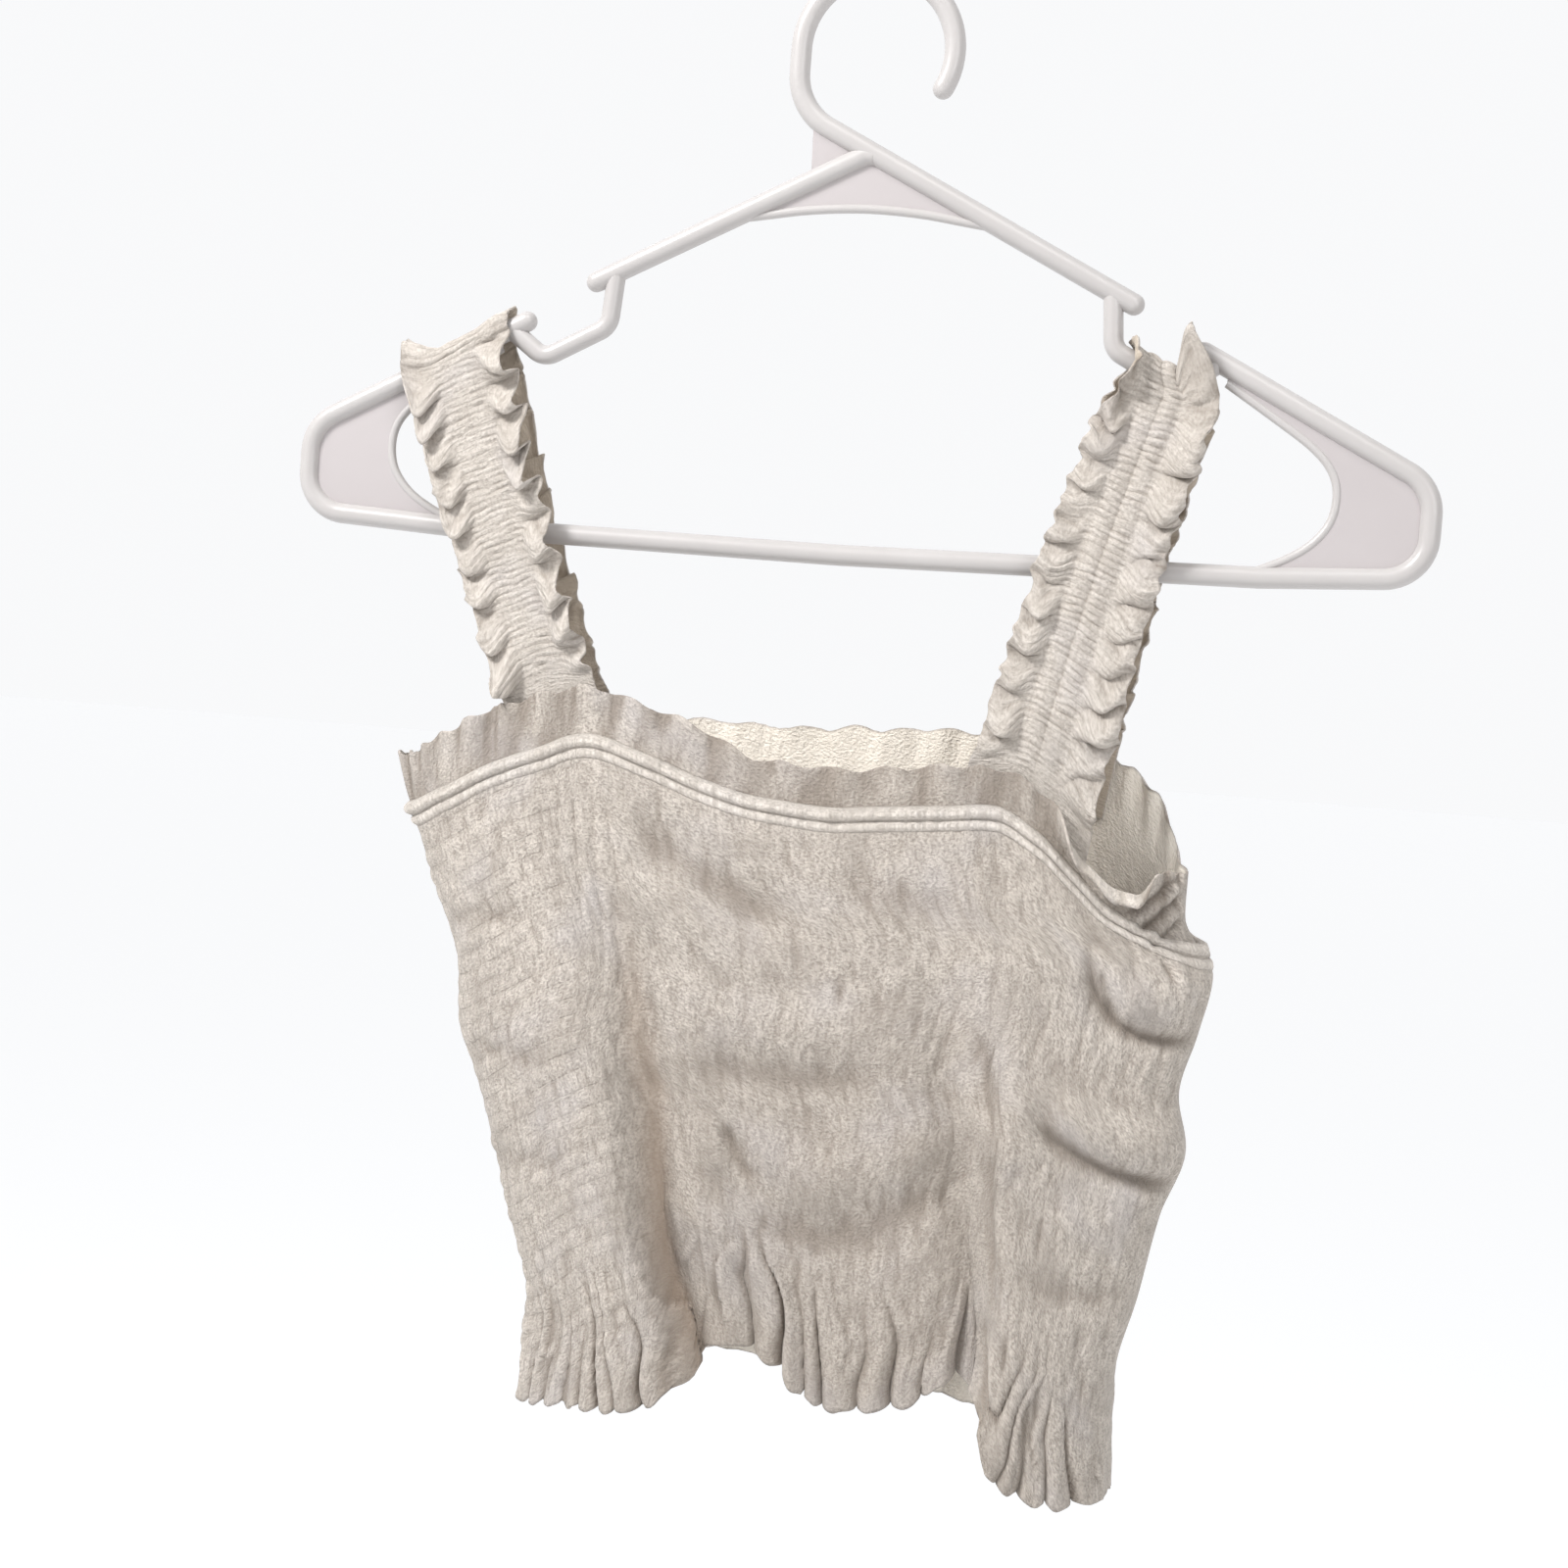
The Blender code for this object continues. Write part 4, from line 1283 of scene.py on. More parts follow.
    def outward_curl(self, at: ClothPlace, length: Array) -> tuple[Array, Array]:
        """The frill's curl outward beside the right strap.

        Args:
            at: where the points lie.
            length: the frill's height there.

        Returns:
            How far the curl lifts the cloth, and how far it lowers it.
        """
        fade_in, fade_out = CURLED_FRILL.fades(at.x)
        bend = self.curl_turn * fade_in * fade_out + 1e-3
        part = np.clip((at.up - self.curl_start) / (1.0 - self.curl_start), 0.0, 1.0)
        run = length * (1.0 - self.curl_start)
        radius = run / bend
        return radius * (1.0 - np.cos(bend * part)), run * part - radius * np.sin(bend * part)

    def relief(self, at: ClothPlace, smocked: Array, rolls: Array) -> Array:
        """The cloth's fine relief: crinkles, lumps and the grooves of the elastic rows.

        Args:
            at: where the points lie.
            smocked: how much of the smocking's relief there is, 0 to 1.
            rolls: how plainly the stitched rows show.

        Returns:
            How far it lifts the cloth.
        """
        across, along = at.across, at.along
        pinch = np.abs(np.sin(math.pi * along / self.row_pitch)) ** 0.7
        slanted = across + self.crinkle_slant * self.noise(PanelNoise.SLANT, across, along)
        crinkle = self.noise(PanelNoise.CRINKLE, slanted, along)
        crinkle = crinkle + self.coarse_crinkle * self.noise(PanelNoise.COARSE_CRINKLE, slanted, along)
        puff = self.noise(PanelNoise.PUFF, across, np.floor(along / self.row_pitch))
        crinkle = crinkle * (1.0 - 0.5 * rolls) + self.puff_height * rolls * puff * pinch
        lump = self.noise(PanelNoise.LUMP, across, along)
        lump = lump + self.small_lump * self.noise(PanelNoise.SMALL_LUMP, across, along)
        relief = self.crinkle_height * crinkle * (0.6 + 0.4 * pinch)
        relief = relief + self.lump_height * lump * (1.0 - 0.5 * rolls)
        relief = smocked * (relief - self.row_groove * rolls * (1.0 - pinch))
        relief = relief + at.up * self.frill_crinkle * self.noise(PanelNoise.FRILL_CRINKLE, across, along)
        return relief + at.down * self.hem_crinkle * self.noise(PanelNoise.HEM_CRINKLE, across, along)

    def shade(self, at: ClothPlace, detail: Array, lift: Array) -> Array:
        """How dark the cloth is in its hollows, troughs and gathers.

        Args:
            at: where the points lie.
            detail: the lift of the gathers and the fine relief.
            lift: the whole lift.

        Returns:
            Values from 0 to 1.
        """
        shade = self.fine_hollow.shade(detail) + self.wide_hollow.shade(lift)
        troughs = crease_shade(self.creases, at.x, at.z)
        shade = shade + self.crease_darkness * troughs * self.calm(at.share)
        shade = shade + self.greyness(at)
        pleats = self.noise(PanelNoise.PLEATS, at.across + 0.25 * at.along, at.along)
        near_side = 0.75 + 0.3 * ease((0.18 - at.share) / 0.1)
        shade = shade + near_side * (at.up > 0.0) * np.clip(pleats - 0.05, -0.3, 1.0)
        return np.clip(shade, 0.0, 1.0)

    def build(self) -> Piece:
        """Makes the panel.

        Returns:
            The panel's object, riding in the frame.
        """
        share, z, up, down = self.grid()
        edge, casing, ruffle, bottom = self.lines(share)
        calm = self.calm(share)
        across = np.interp(share, self.shares, np.linspace(0.0, self.reach, self.columns))
        at = ClothPlace(share, z, up, down, across, casing - z)
        gathers, raised = self.frill_lift(at)
        flutes, let_down = self.ruffle_lift(at, ruffle, bottom)
        below = (up == 0.0) * ease((np.abs(at.along) - self.casing_half) / self.casing_fade)
        fold = gathers * (up > 0.0) + flutes * below
        at = at._replace(z=z + (raised - let_down) * calm)
        if not self.front:
            fade_in, fade_out = HITCHED_HEM.fades(at.x)
            at = at._replace(z=at.z + self.hem_hitch * down * fade_in * fade_out)
        smocked = below * (1.0 - self.hem_smoothness * down)
        rolls = self.row_strength(at)
        detail = (fold + self.relief(at, smocked, rolls)) * calm
        lift = detail + self.form_lift(share, at.z)
        if self.front:
            curled, lowered = self.outward_curl(at, edge - casing)
            lift = lift + curled
            at = at._replace(z=at.z - lowered)
        points = FORM.points(self.front, share, at.z)
        middle = points + FORM.outward(self.front, share, at.z) * lift[..., None]
        cloth_uv = np.stack([across, at.along], -1)
        shade = self.shade(at, detail, lift)
        # The shade mask and the groove mask carry painted shade and painted shadow.
        masks = {"rows": rolls * smocked, "painted_groove_shadow": self.groove_shadow_strength(at), "shade": shade}
        paler = self.of_this(self.inner_glow)
        made = cloth_shell(self.name, middle, cloth_uv, self.thickness, self.side, masks, paler)
        made.data.materials.append(self.finish)
        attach(made, BODY_NAME)
        return made

    def row_strength(self, at: ClothPlace) -> Array:
        """How plainly the stitched rows show: most on the left roll, where the light grazes them.

        Args:
            at: where the points lie.

        Returns:
            The strength, near 1 on the left roll.
        """
        if not self.front:
            return 0.55 + 0.0 * at.share
        left = ease((FORM.at("groove_left", at.z) - at.x) / 22.0 + 0.4)
        right = ease((at.x - FORM.at("groove_right", at.z) - 20.0) / 26.0)
        return 0.12 + 0.88 * left + 0.3 * right

    def greyness(self, at: ClothPlace) -> Array:
        """How much greyer the cloth is in the middle, on the frill and at the hem.

        Args:
            at: where the points lie.

        Returns:
            What is added to the shade.
        """
        fade_in, fade_out = GREY_MIDDLE.fades(at.x)
        middle = fade_in * fade_out
        low = ease((-345.0 - at.z) / 70.0)
        frill = (at.up > 0.0) * (0.2 + 0.26 * middle)
        return middle * (0.13 + 0.2 * low) + frill + 0.06 * low * (1.0 - middle) + 0.1 * at.down

    def groove_shadow_strength(self, at: ClothPlace) -> Array:
        """Painted shadow: how much warmer and darker the cloth is painted deep in the groove beside the left
        roll.

        Args:
            at: where the points lie.

        Returns:
            Values from 0 to 1.
        """
        if not self.front:
            return 0.0 * at.share
        turn = FORM.at("turn", at.z)
        off = (at.x - FORM.at("groove_left", at.z) - 0.34 * turn) / (3.2 + 0.07 * turn)
        deep = ease((-330.0 - at.z) / 60.0)
        return (0.5 + 0.3 * ease((-395.0 - at.z) / 50.0)) * deep * np.exp(-(off**2))


class CasingNoise(Enum):
    """A casing's noises: the step of its seed, and the size of a cell along and across."""

    SWAY = (0, 12.0, 1.0)
    PUCKER = (1, 1.7, 0.6)
    GATHER = (2, 6.0, 0.8)


@dataclass
class Casing:
    """The doubled seam band that gathers the neckline under the frill.

    Its section gives part of the way down the band, and height off the panel: a cord-like ridge over
    a lower one.
    """

    name: str
    panel: Panel
    finish: bpy.types.Material
    seeds: tuple[int, int] = (71, 83)
    stations: int = 520
    thickness: float = 0.5
    proud: float = 0.05
    overlap: float = 1.2
    end_calm: float = 0.02
    sway: float = 0.35
    pucker: float = 0.30
    gather: float = 0.16
    hollow: Hollow = Hollow(0.9, 2, 0, 0.8)
    section: tuple[Pair, ...] = (
        (-0.22, -0.2),
        (-0.13, 0.9),
        (-0.02, 1.85),
        (0.13, 2.35),
        (0.29, 2.2),
        (0.42, 1.4),
        (0.50, 0.5),
        (0.57, 0.3),
        (0.66, 0.75),
        (0.78, 1),
        (0.90, 0.8),
        (1.00, 0.35),
        (1.10, -0.2),
    )

    def build(self) -> Piece:
        """Makes the band.

        Returns:
            The band's object, riding in the frame.
        """
        panel = self.panel
        columns = np.linspace(0.0, 1.0, panel.columns)
        share = np.interp(np.linspace(0.0, 1.0, self.stations), columns, panel.shares)
        _, casing, _, _ = panel.lines(share)
        reach = np.linspace(0.0, panel.reach, self.stations)
        seed = panel.of_this(self.seeds)
        calm = ease(np.minimum(share, 1.0 - share) / self.end_calm)
        sway = self.sway * noise_of(CasingNoise.SWAY, reach, 0.0, seed)
        rings, covers, heights = [], [], []
        for part, height in self.section:
            z = casing + panel.casing_half * (1.0 - 2.0 * part) * self.overlap + sway
            pucker = self.pucker * noise_of(CasingNoise.PUCKER, reach + 1.5 * part, part, seed)
            gather = self.gather * noise_of(CasingNoise.GATHER, reach, part, seed)
            lift = panel.form_lift(share, z) + 0.5 * panel.thickness + self.proud
            lift = lift + height * (1.0 + (pucker + gather) * calm)
            base = FORM.points(panel.front, share, z)
            rings.append(base + FORM.outward(panel.front, share, z) * lift[:, None])
            covers.append(np.stack([reach, 3.0 * height + 6.0 * part + 0.0 * reach], -1))
            heights.append(np.full(self.stations, height))
        blank = np.zeros((len(self.section), self.stations))
        masks = {"rows": blank, "painted_groove_shadow": blank, "shade": self.hollow.shade(np.stack(heights))}
        middle, cloth_uv = np.stack(rings), np.stack(covers)
        made = cloth_shell(self.name, middle, cloth_uv, self.thickness, panel.side, masks)
        made.data.materials.append(self.finish)
        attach(made, BODY_NAME)
        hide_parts(self.name.replace("_band", ""))
        return made


class CrestRow(NamedTuple):
    """Where a strap crosses the hanger: place across the strap, x and z of its middle surface."""

    across: float
    x: float
    z: float


class StrapNoise(Enum):
    """A strap's noises: the step of its seed, and the size of a cell across and along."""

    RIB = (2, 4.0, 5.0)
    CRINKLE = (3, 4.0, 1.4)
    SWELL = (4, 9.0, 14.0)
    FLAP_SIZE = (5, 1.0, 1.0)
    FAN = (6, 3.0, 2.4)
    EDGE = (7, 1.0, 3.4)
    BEND = (8, 6.0, 7.0)
    FLAP_PLACE = (21, 5.0, 7.0)
    FLAP_PEAK = (31, 1.0, 1.0)
    RAGGED = (41, 1.0, 4.6)


@dataclass(frozen=True)
class FrillEdge:
    """How one long edge of a strap ruffles: where its flaps point, and how far they fall."""

    tips: tuple[float, ...]
    forward: float
    drop: float
    inward: float
    peak: float = 0.5
    sharpness: float = 1.0
    keep: float = 1.3
    horn: float = 3.0
    horn_lean: float = 1.0
    leaf: Triple = (0.0, 0.0, 0.0)
    rolled: float = 0.0
    ragged: float = 1.0
    spacing: float = 14.5
    seed: int = 1
    jitter: float = 2.2
    first_behind: float = 14.0
    flaps_behind: int = 13

    def flap_place(self, place: Array) -> Array:
        """How many flaps lie before a place, whole at each tip.

        Args:
            place: place along the edge, in millimetres from the top of the tube, below 0 in front.

        Returns:
            The number of flaps.
        """
        jitter = np.random.default_rng(self.seed).uniform(-self.jitter, self.jitter, 16)
        behind = [
            self.first_behind + self.spacing * number + jitter[number]
            for number in range(self.flaps_behind)
        ]
        tips = [min(self.tips) - self.spacing, *sorted(self.tips), *behind]
        return through(tips, np.arange(len(tips), dtype=float), place)


@dataclass
class Strap:
    """A wide strap, shirred down its middle, with a ruffled frill on each long edge."""

    name: str
    finish: bpy.types.Material
    top_x: float
    front_x: float
    back_x: float
    top_half: float
    end_half: float
    bow: float
    crest: tuple[CrestRow, ...]
    band_puff: float
    seed: int
    left_edge: FrillEdge
    right_edge: FrillEdge
    rows: int = 620
    columns: int = 75
    thickness: float = 0.75
    run_steps: float = 38.0
    top_steps: float = 8.0
    frill_from: float = 0.38
    reach: float = TUBE + SEAM_GAP + STRAP_HALF_WALL + STRAP_CLEARANCE
    tight_over: float = 16.0
    crest_run: float = 9.0
    end_rise: float = 1.0
    free_from: float = 3.0
    free_run: float = 9.0
    flap_wander: float = 2.4
    flap_sizes: Pair = (0.35, 1.5)
    peak_change: float = 0.16
    ragged_off: float = 1.5
    ragged_aside: float = 0.8
    leaf_place: float = -6.0
    leaf_width: float = 5.5
    leaf_rise: float = 0.8
    roll_zone: Stretch = Stretch(-27.0, 8.0, -2.0, 6.0)
    roll_turn: float = 2.5
    roll_width: float = 9.0
    line_pitch: float = 0.31
    lines_reach: float = 0.32
    rib_pitch: float = 2.5
    rib_height: float = 0.26
    crinkle_height: float = 0.30
    swell_height: float = 0.6
    fan_depth: float = 1.0
    edge_wander: float = 1.1
    hollow: Hollow = Hollow(0.8, 3, 3, 0.7)
    flat_size: Pair = (0.054, 0.37)

    def noise(self, kind: StrapNoise, u: Array, v: Array, step: int = 0) -> Array:
        """One of the strap's noises at places across and along."""
        return noise_of(kind, u, v, self.seed + step)

    def crest_line(self, offsets: Array) -> tuple[Array, Array]:
        """The x and z at which the places across the strap cross the hanger."""
        places = [row.across for row in self.crest]
        return tuple(through(places, [getattr(row, axis) for row in self.crest], offsets) for axis in "xz")

    def rise(self, offsets: Array) -> Array:
        """How far out on a frill a place across the strap is, 0 to 1."""
        return (np.abs(offsets) - self.frill_from).clip(0.0) / (1.0 - self.frill_from)

    def free(self, above: Array) -> Array:
        """Goes to 0 where the strap is tucked in below the neckline's edge."""
        return ease((above - self.free_from) / self.free_run)

    def run(self, front: bool, part: Array, offsets: Array) -> tuple[Array, Array]:
        """Middle points of one run of the strap.

        Args:
            front: whether it is the run down the front.
            part: 0 beside the hanger's tube and 1 at the casing, one row each.
            offsets: places across the strap, -1 to 1.

        Returns:
            The points, and how far each is above the neckline's edge.
        """
        neck = NECK_FRONT if front else NECK_BACK
        away = -1.0 if front else 1.0
        crest_x, crest_z = self.crest_line(offsets)
        top_z = crest_z - self.reach
        wide = self.top_x + offsets * self.top_half
        end_x = (self.front_x if front else self.back_x) + offsets * self.end_half
        end_z = edge_height(neck, "second", end_x) + self.end_rise
        x = wide + (end_x - wide) * part + self.bow * np.sin(math.pi * part)
        z = top_z + (end_z - top_z) * part
        x = x + (crest_x - x) * (1.0 - ease((top_z - z) / self.crest_run))
        panel_y = FORM.points(front, FORM.share_at(x, z), z)[..., 1]
        behind = panel_y - away * (0.5 * WALL + SEAM_GAP + STRAP_HALF_WALL + STRAP_CLEARANCE)
        lowest = behind[np.argmax(part[:, 0])]
        straight = away * self.reach + (lowest - away * self.reach) * part
        edge_z = edge_height(neck, "first", x)
        y = straight + (behind - straight) * ease((edge_z + 16.0 - z) / 14.0)
        return np.stack([x, y, z], axis=-1), z - edge_z

    def centre_surface(self, step: Array, offsets: Array) -> tuple[Array, Array, Array, Array]:
        """The strap without its frills.

        Args:
            step: the place along the strap, 0 at the front casing.
            offsets: places across the strap, -1 to 1.

        Returns:
            The points, the unit vectors that point out, how far each is above the neckline, and the
            place along the strap from the top of the tube, below 0 in front.
        """
        first, last = self.run_steps, self.run_steps + self.top_steps
        parts = (1.0 - step[step < first] / first)[:, None]
        back_parts = ((step[step > last] - last) / self.run_steps)[:, None]
        turns = (math.pi * (step[(step >= first) & (step <= last)] - first) / self.top_steps)[:, None]
        front, above_front = self.run(True, parts, offsets)
        back, above_back = self.run(False, back_parts, offsets)
        crest_x, crest_z = self.crest_line(offsets)
        over_z = crest_z - self.reach + self.reach * np.sin(turns)
        over_y = -self.reach * np.cos(turns) + 0.0 * over_z
        over = np.stack([crest_x + 0.0 * over_z, over_y, over_z], axis=-1)
        points = np.concatenate([front, over, back])
        above = np.concatenate([above_front, np.full(over_z.shape, 99.0), above_back])
        place = np.concatenate([front[..., 2] - crest_z, over_y, crest_z - back[..., 2]])
        way = np.zeros(points.shape)
        way[: len(front), :, 1] = -1.0
        way[len(front) : len(front) + len(over), :, 1] = -np.cos(turns)
        way[len(front) : len(front) + len(over), :, 2] = np.sin(turns)
        way[len(front) + len(over) :, :, 1] = 1.0
        return points, way, above, place

    def flaps(self, edge: FrillEdge, side: int, rise: Array, place: Array) -> tuple[Array, ...]:
        """The flaps of one frill.

        Args:
            edge: how the frill's edge ruffles.
            side: -1 at the left and 1 at the right.
            rise: how far out on the frill each point is, 0 to 1.
            place: place along the strap, in millimetres from the top of the tube.

        Returns:
            How near each point is to a flap's tip and to the gap between two, and how far the flap
            bulges there.
        """
        uneven = self.noise(StrapNoise.FLAP_PLACE, rise * 12.0, place, side)
        flap = edge.flap_place(place + self.flap_wander * uneven)
        number = np.floor(flap + 0.5) * 1.9
        size = np.clip(1.0 + 0.9 * self.noise(StrapNoise.FLAP_SIZE, number, 0.0, side), *self.flap_sizes)
        swing = np.cos(2.0 * math.pi * flap)
        tip = (0.5 + 0.5 * swing) ** edge.sharpness * size
        gap = (0.5 - 0.5 * swing) ** 2
        peak = edge.peak + self.peak_change * self.noise(StrapNoise.FLAP_PEAK, number, 0.0, side)
        before = np.sin(0.5 * math.pi * np.clip(rise / peak, 0.0, 1.0))
        after = np.cos(0.5 * math.pi * np.clip((rise - peak) / (edge.keep - peak), 0.0, 1.0))
        return tip, gap, before * after

    def frill(self, offsets: Array, place: Array, above: Array) -> tuple[Array, ...]:
        """Both frills: their flaps, the leaf that stands up and the edge that is rolled in.

        Args:
            offsets: places across the strap, -1 to 1.
            place: place along the strap, in millimetres from the top of the tube.
            above: how far each point is above the neckline.

        Returns:
            How far the flaps stand off, hang down and move sideways, how much painted shade lies between them
            and in the rolled edge, and how a fold that stands up over the hanger moves.
        """
        rise = self.rise(offsets)
        free = self.free(above)
        over = 1.0 - ease(np.abs(place) / self.tight_over)
        off = down = sideways = deep = 0.0 * place
        raised = np.zeros((*place.shape, 3))
        leaf = np.exp(-(((place - self.leaf_place) / self.leaf_width) ** 2))
        leaf = leaf * np.sin(0.5 * math.pi * np.clip(rise / self.leaf_rise, 0.0, 1.0))
        fade_in, fade_out = self.roll_zone.fades(place)
        for edge, side in ((self.left_edge, -1), (self.right_edge, 1)):
            here = (np.sign(offsets) == side) * free
            tip, gap, bulge = self.flaps(edge, side, rise, place)
            curl = self.noise(StrapNoise.RAGGED, np.sign(offsets), place) * rise**2 * here
            off = off + edge.ragged * self.ragged_off * curl * (1.0 - over)
            sideways = sideways - side * self.ragged_aside * edge.ragged * np.abs(curl)
            raised = raised + (here * leaf)[..., None] * np.array(edge.leaf)
            roll = edge.rolled * fade_in * fade_out
            hang = here * (1.0 - over) * (1.0 - 0.7 * np.minimum(roll, 1.0))
            turn = self.roll_turn * roll + 1e-3
            radius = self.roll_width / turn
            off = off + here * radius * (1.0 - np.cos(turn * rise)) * (roll > 0.0)
            pulled = self.roll_width * rise - radius * np.sin(turn * rise)
            sideways = sideways - side * here * pulled * (roll > 0.0)
            # Painted shade inside the rolled edge.
            deep = deep + 1.2 * here * roll * ease((rise - 0.15) / 0.4)
            off = off + hang * edge.forward * (1.15 * bulge * tip - 0.25 * rise * gap)
            off = off + here * over * edge.horn * rise * tip
            down = down + hang * bulge**1.4 * edge.drop * tip
            sideways = sideways - side * hang * (rise**2 * edge.inward * tip - rise**2 * 0.7 * gap)
            sideways = sideways + side * here * over * rise**2 * edge.horn_lean * tip
            # Painted shade between the flaps.
            deep = deep + here * np.sqrt(rise) * gap
        return off, down, sideways, deep, raised

    def relief(self, offsets: Array, across: Array, along: Array, free: Array) -> Array:
        """The shirring down the strap's middle and the crinkles that fan out of it.

        Args:
            offsets: places across the strap, -1 to 1.
            across: place across the cloth, in millimetres.
            along: place along the cloth, in millimetres.
            free: 0 where the strap is tucked in, 1 elsewhere.

        Returns:
            How far it lifts the cloth.
        """
        rise = self.rise(offsets)
        lines = np.abs(np.sin(math.pi * offsets / self.line_pitch)) ** 0.8
        lines = lines * (np.abs(offsets) < self.lines_reach)
        bent = along + 0.9 * self.noise(StrapNoise.BEND, across, along)
        rib = np.sin(2.0 * math.pi * bent / self.rib_pitch)
        rib = rib * (0.7 + 0.5 * self.noise(StrapNoise.RIB, across, along))
        crinkle = self.noise(StrapNoise.CRINKLE, across, along)
        fan = self.noise(StrapNoise.FAN, across * 0.4, along + 0.3 * np.abs(across))
        relief = self.band_puff * lines * (1.0 + 0.25 * rib)
        fine = (self.rib_height * rib + self.crinkle_height * crinkle) * (1.0 - 0.4 * rise)
        relief = relief + fine + self.fan_depth * rise * fan
        relief = relief + self.swell_height * self.noise(StrapNoise.SWELL, across, along)
        return relief * (0.25 + 0.75 * free)

    def build(self) -> Piece:
        """Makes the strap.

        Returns:
            The strap's object, riding in the frame.
        """
        step = np.linspace(0.0, 2.0 * self.run_steps + self.top_steps, self.rows)
        offsets = np.linspace(-1.0, 1.0, self.columns)
        points, way, above, place = self.centre_surface(step, offsets)
        steps = np.linalg.norm(np.diff(points[:, self.columns // 2], axis=0), axis=1)
        along = np.broadcast_to(np.concatenate([[0.0], np.cumsum(steps)])[:, None], above.shape)
        half = self.end_half + (self.top_half - self.end_half) * ease((above + 10.0) / 120.0)
        across = offsets * half
        free = self.free(above)
        off, down, sideways, deep, raised = self.frill(offsets, place, above)
        middle = points + way * off[..., None] + raised
        middle[..., 2] -= down * (1.0 - np.abs(way[..., 2]))
        middle[..., 0] += sideways
        relief = self.relief(offsets, across, along, free)
        middle = middle + way * relief[..., None]
        uneven = self.noise(StrapNoise.EDGE, np.sign(offsets), along)
        middle[..., 0] += self.rise(offsets) ** 2 * free * self.edge_wander * uneven
        # Painted shade in the relief's hollows, between the flaps and inside the rolled edge.
        shade = self.hollow.shade(relief) + 0.5 * deep
        blank = np.zeros(above.shape)
        masks = {"rows": blank, "painted_groove_shadow": blank, "shade": np.clip(shade, 0.0, 1.0)}
        cloth_uv = np.stack([across, along], -1)
        made = cloth_shell(self.name, middle, cloth_uv, self.thickness, 1.0, masks)
        made.data.materials.append(self.finish)
        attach(made, BODY_NAME)
        return made


def rounded_path(corners: Sequence[Triple], steps: int) -> Array:
    """A path of straight runs whose corners are rounded.

    Args:
        corners: x, z and fillet radius of each corner.
        steps: points along each fillet.

    Returns:
        The path's points in the hanger's plane, x and z.
    """
    path = [np.array(corners[0][:2], float)]
    for before, corner, after in zip(corners, corners[1:], corners[2:]):
        here = np.array(corner[:2], float)
        to_before = np.array(before[:2], float) - here
        to_after = np.array(after[:2], float) - here
        to_before /= np.linalg.norm(to_before)
        to_after /= np.linalg.norm(to_after)
        half = 0.5 * math.acos(float(np.clip(to_before @ to_after, -1.0, 1.0)))
        middle = to_before + to_after
        middle /= np.linalg.norm(middle)
        centre = here + middle * corner[2] / math.sin(half)
        start = here + to_before * corner[2] / math.tan(half) - centre
        end = here + to_after * corner[2] / math.tan(half) - centre
        sweep = math.acos(float(np.clip(start @ end / corner[2] ** 2, -1.0, 1.0)))
        for part in np.linspace(0.0, 1.0, steps + 1):
            mixed = math.sin((1 - part) * sweep) * start + math.sin(part * sweep) * end
            path.append(centre + mixed / math.sin(sweep))
    path.append(np.array(corners[-1][:2], float))
    return np.array(path)


def smooth_line(corners: Sequence[Pair], count: int) -> Array:
    """An even smooth line through points in the hanger's plane, in cubic pieces.

    Args:
        corners: x and z of the points.
        count: how many points the line has.

    Returns:
        The line's points, x and z.
    """
    points = np.array(corners, float)
    padded = np.concatenate([[2 * points[0] - points[1]], points, [2 * points[-1] - points[-2]]])
    found = []
    for at in np.linspace(0.0, len(points) - 1.0, count):
        index = min(int(at), len(points) - 2)
        part = at - index
        a, b, c, d = padded[index : index + 4]
        curved = (2 * a - 5 * b + 4 * c - d) * part**2 + (3 * b - a - 3 * c + d) * part**3
        found.append(0.5 * (2 * b + (c - a) * part + curved))
    return np.array(found)


def mirrored(rows: Sequence[Sequence[float]]) -> list[tuple[float, ...]]:
    """The same rows on the other side of the hanger."""
    return [(-row[0], *row[1:]) for row in rows]


